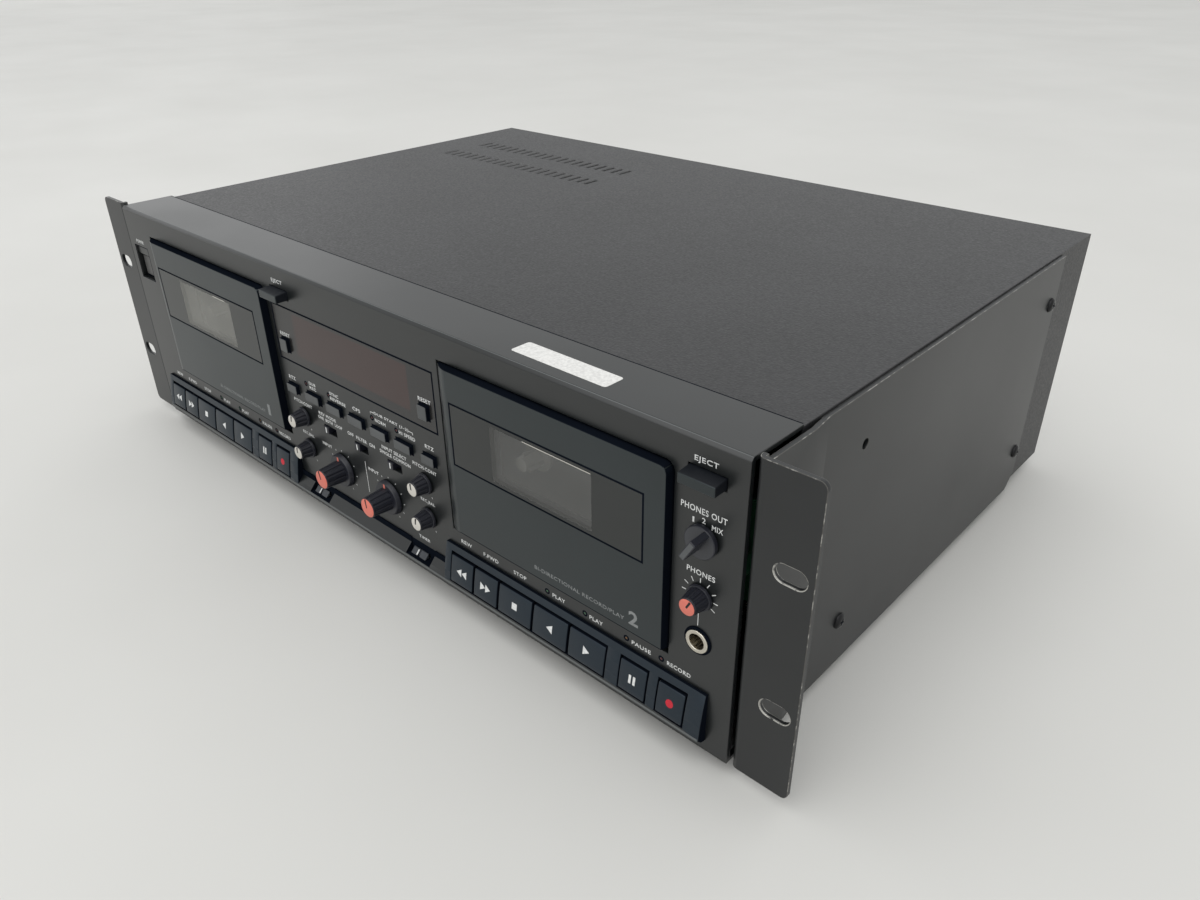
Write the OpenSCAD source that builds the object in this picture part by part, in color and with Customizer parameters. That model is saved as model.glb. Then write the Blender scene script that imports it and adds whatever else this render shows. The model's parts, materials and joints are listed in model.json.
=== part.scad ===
// Rack-mount double cassette deck, in millimetres.
// The front faces -Y, +X runs to the right seen from the front, +Z is up and the feet stand on z = 0.

/* [Rack ears] */
// Width of an ear, from the side plate's outer face to the ear's edge
ear_w = 22.1; // [20:0.1:26]
// Height of an ear
ear_h = 132; // [125:0.1:145]
// Thickness of the bracket sheet
bracket_t = 2; // [1.5:0.1:2.5]
// Length of a side plate behind the ear's face
bracket_d = 262; // [230:1:285]
// Gap between the panel's side and the bracket
bracket_gap = 1.2; // [0.8:0.1:2]
// Distance of a slot's centre from the ear's outer edge
slot_in = 8.75; // [8:0.05:11]
// Distance between the two slots of an ear
slot_rise = 57.15; // [50:0.05:76.2]
// Height of a slot
slot_w = 7; // [6:0.1:8]
// Length of a slot
slot_len = 12; // [10:0.5:13]

/* [Front panel] */
// Width of the panel
panel_w = 432; // [390:1:475]
// How far the panel's top lies below the ears' top
panel_drop = 1; // [0.5:0.1:2]
// Thickness of the panel's face
panel_t = 2.5; // [2:0.1:3]
// How far the panel's face stands in front of the ears
panel_proud = 1; // [0.5:0.1:2]
// Depth of the panel's top, back to the cover
return_d = 29.2; // [24:0.1:32]
// Width of the plain strip outside each door
column_w = 28.7; // [26:0.1:30]

/* [Case] */
// Distance from the ears' face to the rear wall's outer face
case_d = 302; // [290:1:330]
// Thickness of the cover and chassis sheet
sheet_t = 1.2; // [0.8:0.1:1.6]
// How far the cover lies below the panel's top
cover_step = 1; // [0.5:0.1:2]
// Height of the ears above the floor
foot_h = 6; // [4:0.5:12]
// Radius of a foot
foot_r = 11; // [8:0.5:14]
// Number of vents in a row
vent_count = 20; // [12:1:24]
// Distance between neighbouring vents
vent_pitch = 7; // [6:0.1:8]
// Length of a vent
vent_len = 13; // [8:0.5:18]

/* [Doors] */
// Width of a cassette door
door_w = 120.2; // [118:0.1:122]
// Distance of a door's upper edge from the panel's top
door_drop = 13.4; // [12.5:0.1:15]
// How far a door's face stands in front of the panel
door_proud = 3.5; // [2:0.1:5]
// Gap round a door
door_gap = 0.8; // [0.6:0.1:1]
// Height of the hinge pins above the bottom of the ears
hinge_z = 40; // [39:0.1:42]
// Radius of a hinge pin
pin_r = 1.25; // [1:0.05:1.4]
// Width of the window set in a door
lens_w = 101; // [90:0.5:104]
// Height of the window set in a door
lens_h = 28; // [24:0.5:30]
// Thickness of the window
lens_t = 2; // [1.5:0.1:3]
// Width of the clear part of the window
clear_w = 53.5; // [40:0.5:70]
// Height of the clear part of the window
clear_h = 24.6; // [18:0.2:25]

/* [Transport keys] */
// How far the curve of the key ledge would stand out of the panel at its crest
ledge_proud = 5.6; // [3:0.1:7]
// Height of a key
key_h = 13.2; // [12:0.1:16]
// How far a key stands out of the ledge
key_proud = 0.2; // [0:0.1:1.5]
// Gap between neighbouring keys
key_gap = 1.3; // [0.5:0.1:1.6]

/* [Knobs] */
// Radius of a small knob
small_knob_r = 5.3; // [5:0.1:7]
// Radius of a small knob at its tip
small_knob_tip = 3.4; // [3:0.1:5.5]
// Length of a small knob
small_knob_len = 8.2; // [6:0.1:12]
// Length of the headphone knob
phones_knob_len = 8.2; // [6:0.1:12]
// Radius of the skirt of an input knob
skirt_r = 9; // [8:0.1:10]
// Radius of an input knob at its tip
input_knob_tip = 4.9; // [4.5:0.1:6.2]
// Length of an input knob
input_knob_len = 13.8; // [10:0.1:16]
// Radius of a knob's shaft
shaft_r = 3; // [2.5:0.1:3.2]

/* [Small controls] */
// Gap between neighbouring buttons
button_space = 6.6; // [5.5:0.1:9]
// Height of a button
button_h = 4.6; // [3.5:0.1:5.5]
// How far a button stands out of the panel
button_proud = 1.9; // [0.8:0.1:2]
// Width of an eject bar
eject_w = 14.8; // [12:0.1:16]
// How far an eject bar stands out of the panel
eject_proud = 6.2; // [4:0.1:8]
// Radius of the plug hole of the headphone socket
jack_r = 3.2; // [3.18:0.01:3.3]

/* [Hidden] */
$fn = 64;

// Running clearance between a shaft and its hole, and loose gap round a sliding piece
run = 0.05;
slack = 0.25;
// Thickness of the moulded walls, and how far a retaining flange reaches past its hole
wall = 2;
flange = 1.2;

// Places measured from the ears' face (y) and the bottom of the ears (z)
face_y = -panel_proud;
back_y = face_y + panel_t;
panel_half = panel_w / 2;
panel_z0 = 0.5;
panel_z1 = ear_h - panel_drop;
return_t = 2;
return_y1 = face_y + return_d;
recess_wall = 1.4;
bottom_return_d = 13;
rack_half = panel_half + bracket_gap + bracket_t + ear_w;
cover_half = panel_half - 0.15;
cover_z1 = panel_z1 - cover_step;
cover_z0 = panel_z0 + 1;
cover_y0 = return_y1 + slack;
base_z0 = panel_z0 + return_t;
base_z1 = base_z0 + sheet_t;
base_half = cover_half - sheet_t - 0.35;
socket_len = 9.5;

// The origin lies under the middle of the part's box
front_reach = panel_proud + input_knob_len;
rear_reach = case_d + socket_len;
ear_y = (front_reach - rear_reach) / 2;

// Door layout
opening_w = door_w + 2 * door_gap;
centre_w = panel_w - 2 * column_w - 2 * opening_w;
door_x = (centre_w + opening_w) / 2;
door_face = face_y - door_proud;
hinge_y = back_y + 0.5;
barrel_r = pin_r + 1.15;
door_z0 = hinge_z - barrel_r;
door_z1 = panel_z1 - door_drop;
door_back = face_y + 1.6;
opening_z0 = door_z0 - door_gap + 0.1;
opening_z1 = door_z1 + door_gap;
bottom_bevel = 2.6;
left_bevel = 5.4;
door_corner = 3;
lug_w = 4;
lug_h = 7;
lug_y1 = hinge_y + pin_r + 1.75;
lens_drop = 28.2;
lens_z = door_z1 - lens_drop;
column_x = panel_half - 15.7;

// Cassette carrier behind a door, with room for a cassette
cassette_w = 102;
carrier_t = 1.5;
carrier_y1 = door_back + 13.9;
carrier_z0 = hinge_z + 6;
carrier_z1 = carrier_z0 + 58;
shelf_len = 21;
lip_w = 4;

// Tape mechanism behind each door
frame_y = carrier_y1 + 2.5;
frame_t = 1.6;
frame_z0 = hinge_z - 10;
frame_z1 = door_z1 - 1.6;
post_r = 2.2;
post_x = opening_w / 2 + 1.2 + post_r;
frame_half = post_x + post_r + 0.1;
post_heights = [hinge_z + 10, hinge_z + 30];
seat_gap = 0.05;
reel_gap = 42.5;
reel_z = hinge_z + 42;
reel_r = 3.2;
reel_flange_r = 7;
reel_shaft_r = 1.5;
capstan_x = 24;
capstan_z = hinge_z + 10;
capstan_r = 1.2;
flywheel_r = 17;
flywheel_y = frame_y + frame_t + 2.4;
flywheel_t = 5;
bridge_y = flywheel_y + flywheel_t + 1.5;
bridge_x = capstan_x + flywheel_r + 2;
bridge_h = 14;
head_w = 26;
head_h = 12;
head_d = 8;
motor_r = 12;
motor_len = 23;
motor_z = frame_z1 - motor_r - 2;

// Key ledge: a slice of a large cylinder with its crest below the panel, and a chin that slopes back under it
ledge_z0 = panel_z0 + 5;
ledge_z1 = panel_z0 + 28.3;
ledge_crest = panel_z0 - 5.5;
ledge_lip = 1.3;
ledge_rise = ledge_z1 - ledge_crest;
ledge_sag = ledge_proud - ledge_lip;
ledge_r = (ledge_rise * ledge_rise + ledge_sag * ledge_sag) / (2 * ledge_sag);
chin_z = ledge_z0 + 4.1;
chin_foot_z = ledge_z0 + 0.6;
chin_foot = 0.41 * ledge_proud;
ledge_in = centre_w / 2 - 4.3;
band_z1 = panel_z0 + 16.3;
shelf_step = 0.7;
shelf_lean = 1.07;
shelf_z1 = chin_z + 4.4;
key_z0 = ledge_z0 + 5.5;
key_z1 = key_z0 + key_h;
key_back = back_y;
key_travel = 1.5;
key_room_low = 0.7;
key_room_top = 1.4;
key_flange = 1.8;

// Transport keys from left to right: name, width and the space to the left of it
KEYS = [
    ["rewind", 15.7, 4.1],
    ["fast_forward", 16, 0],
    ["stop", 21.2, 0],
    ["reverse_play", 20.8, 0],
    ["play", 20.5, 0],
    ["pause", 14.3, 6.7],
    ["record", 13.7, 4.4],
];
ledge_tail = 7.4;
function key_left(i) = KEYS[i][2] + (i == 0 ? 0 : key_left(i - 1) + KEYS[i - 1][1]);
ledge_len = key_left(len(KEYS) - 1) + KEYS[len(KEYS) - 1][1] + ledge_tail;

// Sides of the part: name and direction in X
SIDES = [["left", -1], ["right", 1]];
function ledge_start(side) = side < 0 ? -ledge_in - ledge_len : ledge_in;

// Display window
display_half = ledge_in;
display_drop = 19.9;
display_h = 28.2;
display_z1 = panel_z1 - display_drop;
display_z0 = display_z1 - display_h;
display_t = 1.6;
screen_half = display_half - 16.7;
screen_z0 = display_z0 + 4;
screen_z1 = display_z1 - 2.2;

// Height of a row of controls, as a share of the way from the ledge's middle stretch to the display
function row_at(share) = band_z1 + share * (display_z0 - band_z1);

// Push buttons: name, place in X and Z, width and height
reset_in = 7.2;
end_x = display_half - reset_in;
button_pitch = end_x / 3;
button_w = button_pitch - button_space;
row_z = row_at(0.767);
reset_z = display_z0 + 8.1;
BUTTONS = [
    ["counter_reset_left", -end_x, reset_z, 6, 6.8],
    ["counter_reset_right", end_x, reset_z, 6, 6.8],
    ["return_zero_left", -end_x, row_z, 8.4, button_h],
    ["dub_record_button", -2 * button_pitch, row_z, button_w, button_h],
    ["sync_reverse_button", -button_pitch, row_z, button_w, button_h],
    ["search_button", 0, row_z, button_w, button_h],
    ["dub_normal_button", button_pitch, row_z, button_w, button_h],
    ["dub_fast_button", 2 * button_pitch, row_z, button_w, button_h],
    ["return_zero_right", end_x, row_z, 8.4, button_h],
];

// Slide switches on the panel: name and place in X
slide_z = row_at(0.5446);
slide_w = 4.2;
slide_h = 3.8;
slide_travel = 5;
slide_proud = 1;
slide_slot_w = slide_w + slide_travel + 1;
slide_pitch = end_x / 2 - 1;
SLIDES = [["reverse_mode_slide", -slide_pitch], ["noise_filter_slide", 0], ["input_select_slide", slide_pitch]];
slide_base_w = 10;
slide_base_h = 7;

// Timer switches in the two pockets of the ledge's middle stretch
timer_x = 0.67 * ledge_in;
timer_w = 10.5;
timer_h = 2.6;
timer_travel = 3.5;
timer_proud = 2.8;
timer_top = 0.4;
timer_notch = 0.8;
timer_gap = 1.2;
timer_neck = 4;
timer_neck_h = 2;
pocket_w = timer_w + timer_travel + 3.5;
pocket_z0 = chin_z;
timer_z0 = pocket_z0 + slack;
timer_z = timer_z0 + 1.2;

// Knobs: name, place in X and Z, kind
knob_x = centre_w / 2 - 17;
input_x = 0.392 * knob_x;
pitch_z = row_at(0.5507);
balance_z = row_at(0.2753);
input_z = row_at(0.2527);
selector_z = panel_z1 - 37;
phones_z = selector_z - 23.6;
jack_z = phones_z - 19.5;
KNOBS = [
    ["pitch_knob_left", -knob_x, pitch_z, "small"],
    ["pitch_knob_right", knob_x, pitch_z, "small"],
    ["balance_knob_left", -knob_x, balance_z, "small"],
    ["balance_knob_right", knob_x, balance_z, "small"],
    ["input_knob_left", -input_x, input_z, "skirted"],
    ["input_knob_right", input_x, input_z, "skirted"],
    ["phones_knob", column_x, phones_z, "phones"],
    ["phones_selector", column_x, selector_z, "pointer"],
];
knob_gap = 0.5;
flute_count = 12;
flute_r = 0.8;
flute_end = 1.2;
skirt_t = 2.4;
input_body_r = skirt_r - 3.1;
small_collar = 1.3;
small_body_r = small_knob_r - 0.6;
pointer_r = 6.3;
pointer_len = 10.4;
pointer_t = 2.6;
pointer_base = 2.2;
pointer_bar = 8.8;
pointer_shift = 1.4;
pointer_turn = 30;

// Potentiometers and control boards behind the panel
board_t = 1.6;
board_y = frame_y + frame_t - board_t;
board_half = door_x - frame_half - 1.2;
board_z0 = panel_z0 + 21;
board_z1 = display_z1 + 0.9;
pot_r = 6;
pot_y = back_y + 5;
shaft_in = 4;
board_posts = [[0.69 * knob_x, row_at(0.4115)], [0.557 * knob_x, row_at(0.941)]];
board_post_r = 2.8;
column_post_x = panel_half - 6;
column_post_z = (selector_z + phones_z) / 2;
column_board_half = 12;
module_depth = 12;

// Eject bars and power button
eject_z = panel_z1 - 12.8;
eject_h = 4.4;
eject_x = [9.2 - ledge_in, column_x];
eject_travel = 3;
power_w = 15.5;
power_h = 19;
power_x = -panel_half + 13.25;
power_z = panel_z1 - 31;
power_depth = 3;
power_step = 5;
power_margin = 0.9;

// Headphone socket
nut_r = jack_r + 1.6;
nut_proud = 1.2;
jack_body = 5.5;
jack_len = 24;

// Rear sockets, boards and transformer
SOCKET_COLUMNS = 6;
SOCKET_ROWS = 2;
socket_pitch_x = 22;
socket_pitch_z = 26;
socket_x = 49.3 - base_half;
socket_z = 48;
socket_flange_r = 5.2;
socket_r = 4.15;
socket_hole_r = 1.7;
inlet_w = 28;
inlet_h = 21;
inlet_x = base_half - 49.3;
inlet_z = 34;
standoff_h = 6.3;
standoff_r = 3;
main_board = [[64.3 - base_half, 70], [70, 270]];
transformer = [[base_half - 104.3, 170], [base_half - 34.3, 240]];
transformer_h = 58;
coil_h = 34;
coil_reach = 9;

// Screws of the side plates: place in Y and Z, and which of the holes is empty
screw_r = 2;
screw_hole_r = 2.2;
screw_head_r = 3.6;
screw_head_t = 2.2;
screw_len = 9;
screw_front = 71.5;
screw_back = bracket_d - 7;
screw_low = 24;
screw_high = ear_h - 26;
PLATE_HOLES = [[screw_front, screw_low], [screw_back, screw_low], [screw_back, screw_high], [screw_front, screw_high]];
EMPTY_HOLE = 3;
joggle_y0 = 31;
joggle_y1 = 42;
plate_drop = 3;
plate_chamfer = 8;
bend_r = 2.4;
ear_corner = 3;

// Feet
foot_x = base_half - 34.3;
foot_y = [50, case_d - 37];

// Moves a piece from the ears' own frame to the part's frame
module place() {
    translate([0, ear_y, foot_h]) children();
}

// A box between two corners
module block(low, high) {
    translate(low) cube(high - low);
}

// A box behind a rectangle of the panel, centred on x and z
module tile(x, z, w, h, y0, y1) {
    block([x - w / 2, y0, z - h / 2], [x + w / 2, y1, z + h / 2]);
}

// A rod along Y
module rod(x, z, r, y0, y1) {
    translate([x, y0, z]) rotate([-90, 0, 0]) cylinder(r = r, h = y1 - y0);
}

// A rod along X
module rod_x(x0, x1, y, z, r) {
    translate([x0, y, z]) rotate([0, 90, 0]) cylinder(r = r, h = x1 - x0);
}

// A section drawn in Y and Z, drawn out along X
module along_x(x0, x1) {
    translate([x0, 0, 0]) rotate([90, 0, 90]) linear_extrude(x1 - x0) children();
}

// A plan drawn in X and Y, drawn up along Z
module along_z(z0, z1) {
    translate([0, 0, z0]) linear_extrude(z1 - z0) children();
}

// What rounds off an upper right corner, seen from the front
module corner_cut(x, z, r, y0, y1) {
    difference() {
        block([x - r, y0, z - r], [x + 1, y1, z + 1]);
        rod(x - r, z - r, r, y0 - 1, y1 + 1);
    }
}

// Section of the ledge's curved face at one radius, cut off between two heights
module ledge_section(r, z0, z1, y_back) {
    reach = ledge_proud + key_proud + 1;
    intersection() {
        translate([face_y - ledge_proud + ledge_r, ledge_crest]) circle(r, $fn = 256);
        translate([face_y - reach, z0]) square([reach + y_back - face_y, z1 - z0]);
    }
}

// The ledge between two places, with its chin cut away underneath
module ledge(x0, x1, z1) {
    chin_slope = (chin_z - chin_foot_z) / (ledge_proud - chin_foot);
    difference() {
        along_x(x0, x1) ledge_section(ledge_r, ledge_z0, z1, back_y);
        along_x(x0 - 1, x1 + 1)
            polygon([
                [face_y - ledge_proud - 1, ledge_z0 - 1],
                [face_y, ledge_z0 - 1],
                [face_y, ledge_z0],
                [face_y - chin_foot, chin_foot_z],
                [face_y - ledge_proud - 1, chin_z + chin_slope],
            ]);
    }
}

// The middle stretch: a shelf that leans back from the lip to a narrow step under the knobs
module shelf() {
    difference() {
        ledge(-ledge_in, ledge_in, band_z1);
        along_x(-ledge_in - 1, ledge_in + 1)
            polygon([
                [face_y - shelf_step, band_z1 + 1],
                [face_y - shelf_step, shelf_z1],
                [face_y - ledge_proud - 1, shelf_z1 - shelf_lean * (ledge_proud + 1 - shelf_step)],
                [face_y - ledge_proud - 1, band_z1 + 1],
            ]);
    }
}

// The key openings and the hollow behind one ledge
module ledge_cuts(x0) {
    last = len(KEYS) - 1;
    along_x(x0 + wall, x0 + ledge_len - wall)
        ledge_section(ledge_r - wall, key_z0 - key_flange - slack, ledge_z1 - wall, back_y + 1);
    for (i = [0:last])
        block(
            [x0 + key_left(i), face_y - ledge_proud - 1, key_z0 - key_room_low],
            [x0 + key_left(i) + KEYS[i][1], face_y + panel_t, key_z1 + key_room_top]
        );
}

// Moulded front panel with its ledge, openings, lugs and posts
module front_panel() {
    color([0.2, 0.21, 0.22])
    place()
    difference() {
        union() {
            block([-panel_half, face_y, panel_z0], [panel_half, back_y, panel_z1]);
            block([-panel_half, face_y, panel_z1 - return_t], [panel_half, return_y1, panel_z1]);
            block([-panel_half, face_y, panel_z0], [panel_half, bottom_return_d, panel_z0 + return_t]);
            for (s = [-1, 1])
                ledge(ledge_start(s), ledge_start(s) + ledge_len, ledge_z1);
            shelf();
            for (s = [-1, 1], e = [-1, 1])
                tile(
                    s * door_x + e * (opening_w + lug_w) / 2, hinge_z, lug_w, lug_h,
                    back_y - 0.5, lug_y1
                );
            tile(
                power_x, power_z, power_w + 2 * recess_wall, power_h + 2 * recess_wall,
                back_y - 0.5, face_y + power_depth + recess_wall
            );
        }
        panel_cuts();
    }
}

// Everything that is cut out of the front panel
module panel_cuts() {
    through = back_y + 3;
    front = face_y - 1;
    chamfer = 1.3;
    along_x(-panel_half - 1, panel_half + 1)
        polygon([
            [face_y - 1, panel_z1 - chamfer - 1],
            [face_y - 1, panel_z1 + 1],
            [face_y + chamfer + 1, panel_z1 + 1],
        ]);
    for (s = [-1, 1]) {
        ledge_cuts(ledge_start(s));
        difference() {
            tile(s * door_x, (opening_z0 + opening_z1) / 2, opening_w, opening_z1 - opening_z0, front, through);
            corner_cut(s * door_x + opening_w / 2, opening_z1, door_corner + door_gap, front - 1, through + 1);
        }
        rod_x(
            s * door_x - opening_w / 2 - lug_w - 1, s * door_x + opening_w / 2 + lug_w + 1,
            hinge_y, hinge_z, pin_r + run
        );
        tile(
            s * timer_x, (pocket_z0 + band_z1 + 1) / 2, pocket_w, band_z1 + 1 - pocket_z0,
            face_y - ledge_proud - 1, face_y
        );
        tile(s * timer_x, timer_z, timer_neck + timer_travel + 1, timer_neck_h + 2 * slack, front, through);
    }
    block(
        [-display_half - slack, front, display_z0 - slack],
        [display_half + slack, face_y + display_t, display_z1 + slack]
    );
    block([-screen_half, front, screen_z0], [screen_half, through, screen_z1]);
    for (b = BUTTONS)
        tile(b[1], b[2], b[3] + 2 * slack, b[4] + 2 * slack, front, through);
    for (s = SLIDES)
        tile(s[1], slide_z, slide_slot_w, slide_h + 2 * slack, front, through);
    for (k = KNOBS)
        rod(k[1], k[2], shaft_r + run, front, through);
    rod(column_x, jack_z, nut_r + slack, front, through);
    for (x = eject_x)
        tile(x, eject_z, eject_w + 2 * slack, eject_h + 2 * slack, front, through);
    tile(power_x, power_z, power_w, power_h, front, face_y + 1);
    tile(power_x, power_z - power_step / 2, power_w, power_h - power_step, front, face_y + power_depth);
    tile(
        power_x, power_z - power_step / 2, power_w - 2 * power_margin, power_h - power_step - 2 * power_margin,
        front, face_y + power_depth + recess_wall + 1
    );
}

// Steel floor pan with side flanges, rear wall and the stand-offs of the main board
module base_chassis() {
    flange_h = 12;
    rear_y = case_d - sheet_t;
    front_y = back_y + 2.5;
    color([0.62, 0.63, 0.64])
    place()
    union() {
        block([-base_half, front_y, base_z0], [base_half, case_d, base_z1]);
        block([-base_half, rear_y, base_z0], [base_half, case_d, cover_z1 - sheet_t - 0.4]);
        for (s = [-1, 1])
            block(
                [s * (base_half - sheet_t / 2) - sheet_t / 2, bottom_return_d + 1, base_z0],
                [s * (base_half - sheet_t / 2) + sheet_t / 2, case_d, base_z0 + flange_h]
            );
        block([-base_half + 30, front_y + 12, base_z0], [base_half - 30, front_y + 12 + sheet_t, base_z0 + flange_h]);
        for (x = [main_board[0][0] + 8, main_board[1][0] - 8], y = [main_board[0][1] + 8, main_board[1][1] - 8])
            translate([x, y, base_z0]) cylinder(r = standoff_r, h = sheet_t + standoff_h);
    }
}

// Folded steel cover: the top and both sides, with two rows of vents
module top_cover() {
    vent_w = 3.2;
    vent_x0 = -186;
    vent_rows = [case_d - 85, case_d - 53];
    color([0.3, 0.3, 0.32])
    place()
    difference() {
        block([-cover_half, cover_y0, cover_z0], [cover_half, case_d + 1, cover_z1]);
        block(
            [-cover_half + sheet_t, cover_y0 - 1, cover_z0 - 1],
            [cover_half - sheet_t, case_d + 2, cover_z1 - sheet_t]
        );
        for (y = vent_rows, i = [0:vent_count - 1])
            block(
                [vent_x0 + i * vent_pitch, y - vent_len / 2, cover_z1 - 2 * sheet_t],
                [vent_x0 + i * vent_pitch + vent_w, y + vent_len / 2, cover_z1 + 1]
            );
        for (h = PLATE_HOLES)
            rod_x(-cover_half - 1, cover_half + 1, h[0], h[1], screw_hole_r);
    }
}

// Plan of the right bracket: the ear, the bend and the side plate with its small step inwards
module bracket_plan() {
    inner = panel_half + bracket_gap;
    outer = inner + bracket_t;
    difference() {
        polygon([
            [inner, 0],
            [rack_half, 0],
            [rack_half, bracket_t],
            [outer, bracket_t],
            [outer, joggle_y0],
            [cover_half + bracket_t, joggle_y1],
            [cover_half + bracket_t, bracket_d],
            [cover_half, bracket_d],
            [cover_half, joggle_y1],
            [inner, joggle_y0],
        ]);
        difference() {
            translate([inner - 1, -1]) square(bend_r + 1);
            translate([inner + bend_r, bend_r]) circle(bend_r);
        }
    }
}

// Right bracket, with its slots, screw holes and trimmed corners
module bracket_right() {
    outer = panel_half + bracket_gap + bracket_t;
    slot_x = rack_half - slot_in;
    slot_reach = slot_len / 2 - slot_w / 2;
    difference() {
        along_z(0, ear_h) bracket_plan();
        block([cover_half - 1, bend_r + 1, ear_h - plate_drop], [outer + 0.5, bracket_d + 1, ear_h + 1]);
        for (s = [-1, 1]) {
            z = ear_h / 2 + s * slot_rise / 2;
            rod(slot_x - slot_reach, z, slot_w / 2, -1, bracket_t + 1);
            rod(slot_x + slot_reach, z, slot_w / 2, -1, bracket_t + 1);
            tile(slot_x, z, 2 * slot_reach, slot_w, -1, bracket_t + 1);
        }
        for (h = PLATE_HOLES)
            rod_x(cover_half - 1, outer + 1, h[0], h[1], screw_hole_r);
        for (top = [0, 1])
            translate([rack_half, 0, top * ear_h]) mirror([0, 0, top]) ear_corner_cut();
        along_x(cover_half - 1, outer + 1)
            polygon([
                [bracket_d - plate_chamfer, -1],
                [bracket_d - plate_chamfer, 0],
                [bracket_d, plate_chamfer],
                [bracket_d + 1, plate_chamfer],
                [bracket_d + 1, -1],
            ]);
    }
}

// What rounds off an ear's outer corner, seen from its lower outer corner
module ear_corner_cut() {
    difference() {
        block([-ear_corner, -1, -1], [1, bracket_t + 1, ear_corner]);
        rod(-ear_corner, ear_corner, ear_corner, -2, bracket_t + 2);
    }
}

// One rack bracket, on the side given
module rack_bracket(side) {
    color([0.25, 0.25, 0.26])
    place()
    mirror([side < 0 ? 1 : 0, 0, 0]) bracket_right();
}

// Pan-head screws of both side plates
module screws() {
    head_x = cover_half + bracket_t;
    color([0.12, 0.12, 0.13])
    place()
    for (s = [0, 1], i = [0:len(PLATE_HOLES) - 1])
        if (i != EMPTY_HOLE)
            mirror([s, 0, 0]) {
                rod_x(head_x - screw_len, head_x + 0.5, PLATE_HOLES[i][0], PLATE_HOLES[i][1], screw_r);
                translate([head_x, PLATE_HOLES[i][0], PLATE_HOLES[i][1]])
                    rotate([0, 90, 0]) cylinder(r1 = screw_head_r, r2 = screw_head_r - 0.8, h = screw_head_t);
            }
}

// Four rubber feet under the chassis
module feet() {
    color([0.08, 0.08, 0.08])
    place()
    for (s = [-1, 1], y = foot_y)
        translate([s * foot_x, y, -foot_h]) cylinder(r1 = foot_r, r2 = foot_r + 1, h = foot_h + base_z0);
}

// Smoked window over the counters, with the holes of the two reset buttons
module display_window() {
    color([0.25, 0.1, 0.08])
    place()
    difference() {
        block([-display_half, face_y, display_z0], [display_half, face_y + display_t, display_z1]);
        for (s = [-1, 1])
            tile(s * end_x, reset_z, BUTTONS[0][3] + 2 * slack, BUTTONS[0][4] + 2 * slack, face_y - 1, back_y);
    }
}

// Headphone socket: a plated nut in front, a body behind and a blind plug hole
module phones_jack() {
    color([0.75, 0.75, 0.76])
    place()
    difference() {
        union() {
            rod(column_x, jack_z, nut_r, face_y - nut_proud, back_y + 1);
            tile(column_x, jack_z, 2 * jack_body, 2 * jack_body + 1, back_y, back_y + jack_len);
        }
        rod(column_x, jack_z, jack_r, face_y - nut_proud - 1, back_y + jack_len - wall);
    }
}

// Section of a door: a thick plate with a bevelled foot and a round barrel at the hinge
module door_section() {
    union() {
        polygon([
            [door_face, door_z0 + bottom_bevel],
            [door_face, door_z1],
            [door_back, door_z1],
            [door_back, hinge_z + barrel_r + 1],
            [hinge_y, hinge_z + barrel_r],
            [hinge_y, hinge_z],
            [hinge_y - barrel_r + 0.2, hinge_z - barrel_r / 2],
        ]);
        translate([hinge_y, hinge_z]) circle(barrel_r);
    }
}

// One cassette door: plate, cassette carrier and hinge pins
module cassette_door(side) {
    x = side * door_x;
    half = door_w / 2;
    inside = cassette_w / 2;
    color([0.2, 0.21, 0.22])
    place()
    difference() {
        union() {
            along_x(x - half, x + half) door_section();
            for (e = [-1, 1]) {
                rod_x(x + e * (half + lug_w) / 2 - (half + lug_w) / 2, x + e * (half + lug_w) / 2 + (half + lug_w) / 2,
                    hinge_y, hinge_z, pin_r);
                tile(
                    x + e * (inside + carrier_t / 2), (carrier_z0 + carrier_z1) / 2,
                    carrier_t, carrier_z1 - carrier_z0, door_back - 0.5, carrier_y1
                );
                tile(
                    x + e * (inside + carrier_t - lip_w / 2), (carrier_z0 + carrier_z1) / 2,
                    lip_w, carrier_z1 - carrier_z0, carrier_y1 - carrier_t, carrier_y1
                );
                tile(
                    x + e * (inside + carrier_t - shelf_len / 2), carrier_z0 + carrier_t / 2,
                    shelf_len, carrier_t, door_back - 0.5, carrier_y1
                );
            }
        }
        along_z(door_z0 - 1, door_z1 + 1)
            polygon([
                [x - half - 1, door_face - 1],
                [x - half + left_bevel, door_face - 1],
                [x - half + left_bevel, door_face],
                [x - half, face_y - 0.1],
                [x - half - 1, face_y - 0.1],
            ]);
        corner_cut(x + half, door_z1, door_corner, door_face - 1, door_back + 1);
        tile(x, lens_z, lens_w + slack, lens_h + slack, door_face - 1, door_face + lens_t);
        tile(x, lens_z, clear_w, clear_h, door_face - 1, door_back + 1);
    }
}

// The window set flush in a door's face
module door_window(side) {
    color([0.35, 0.36, 0.37])
    place()
    tile(side * door_x, lens_z, lens_w, lens_h, door_face, door_face + lens_t);
}

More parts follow.
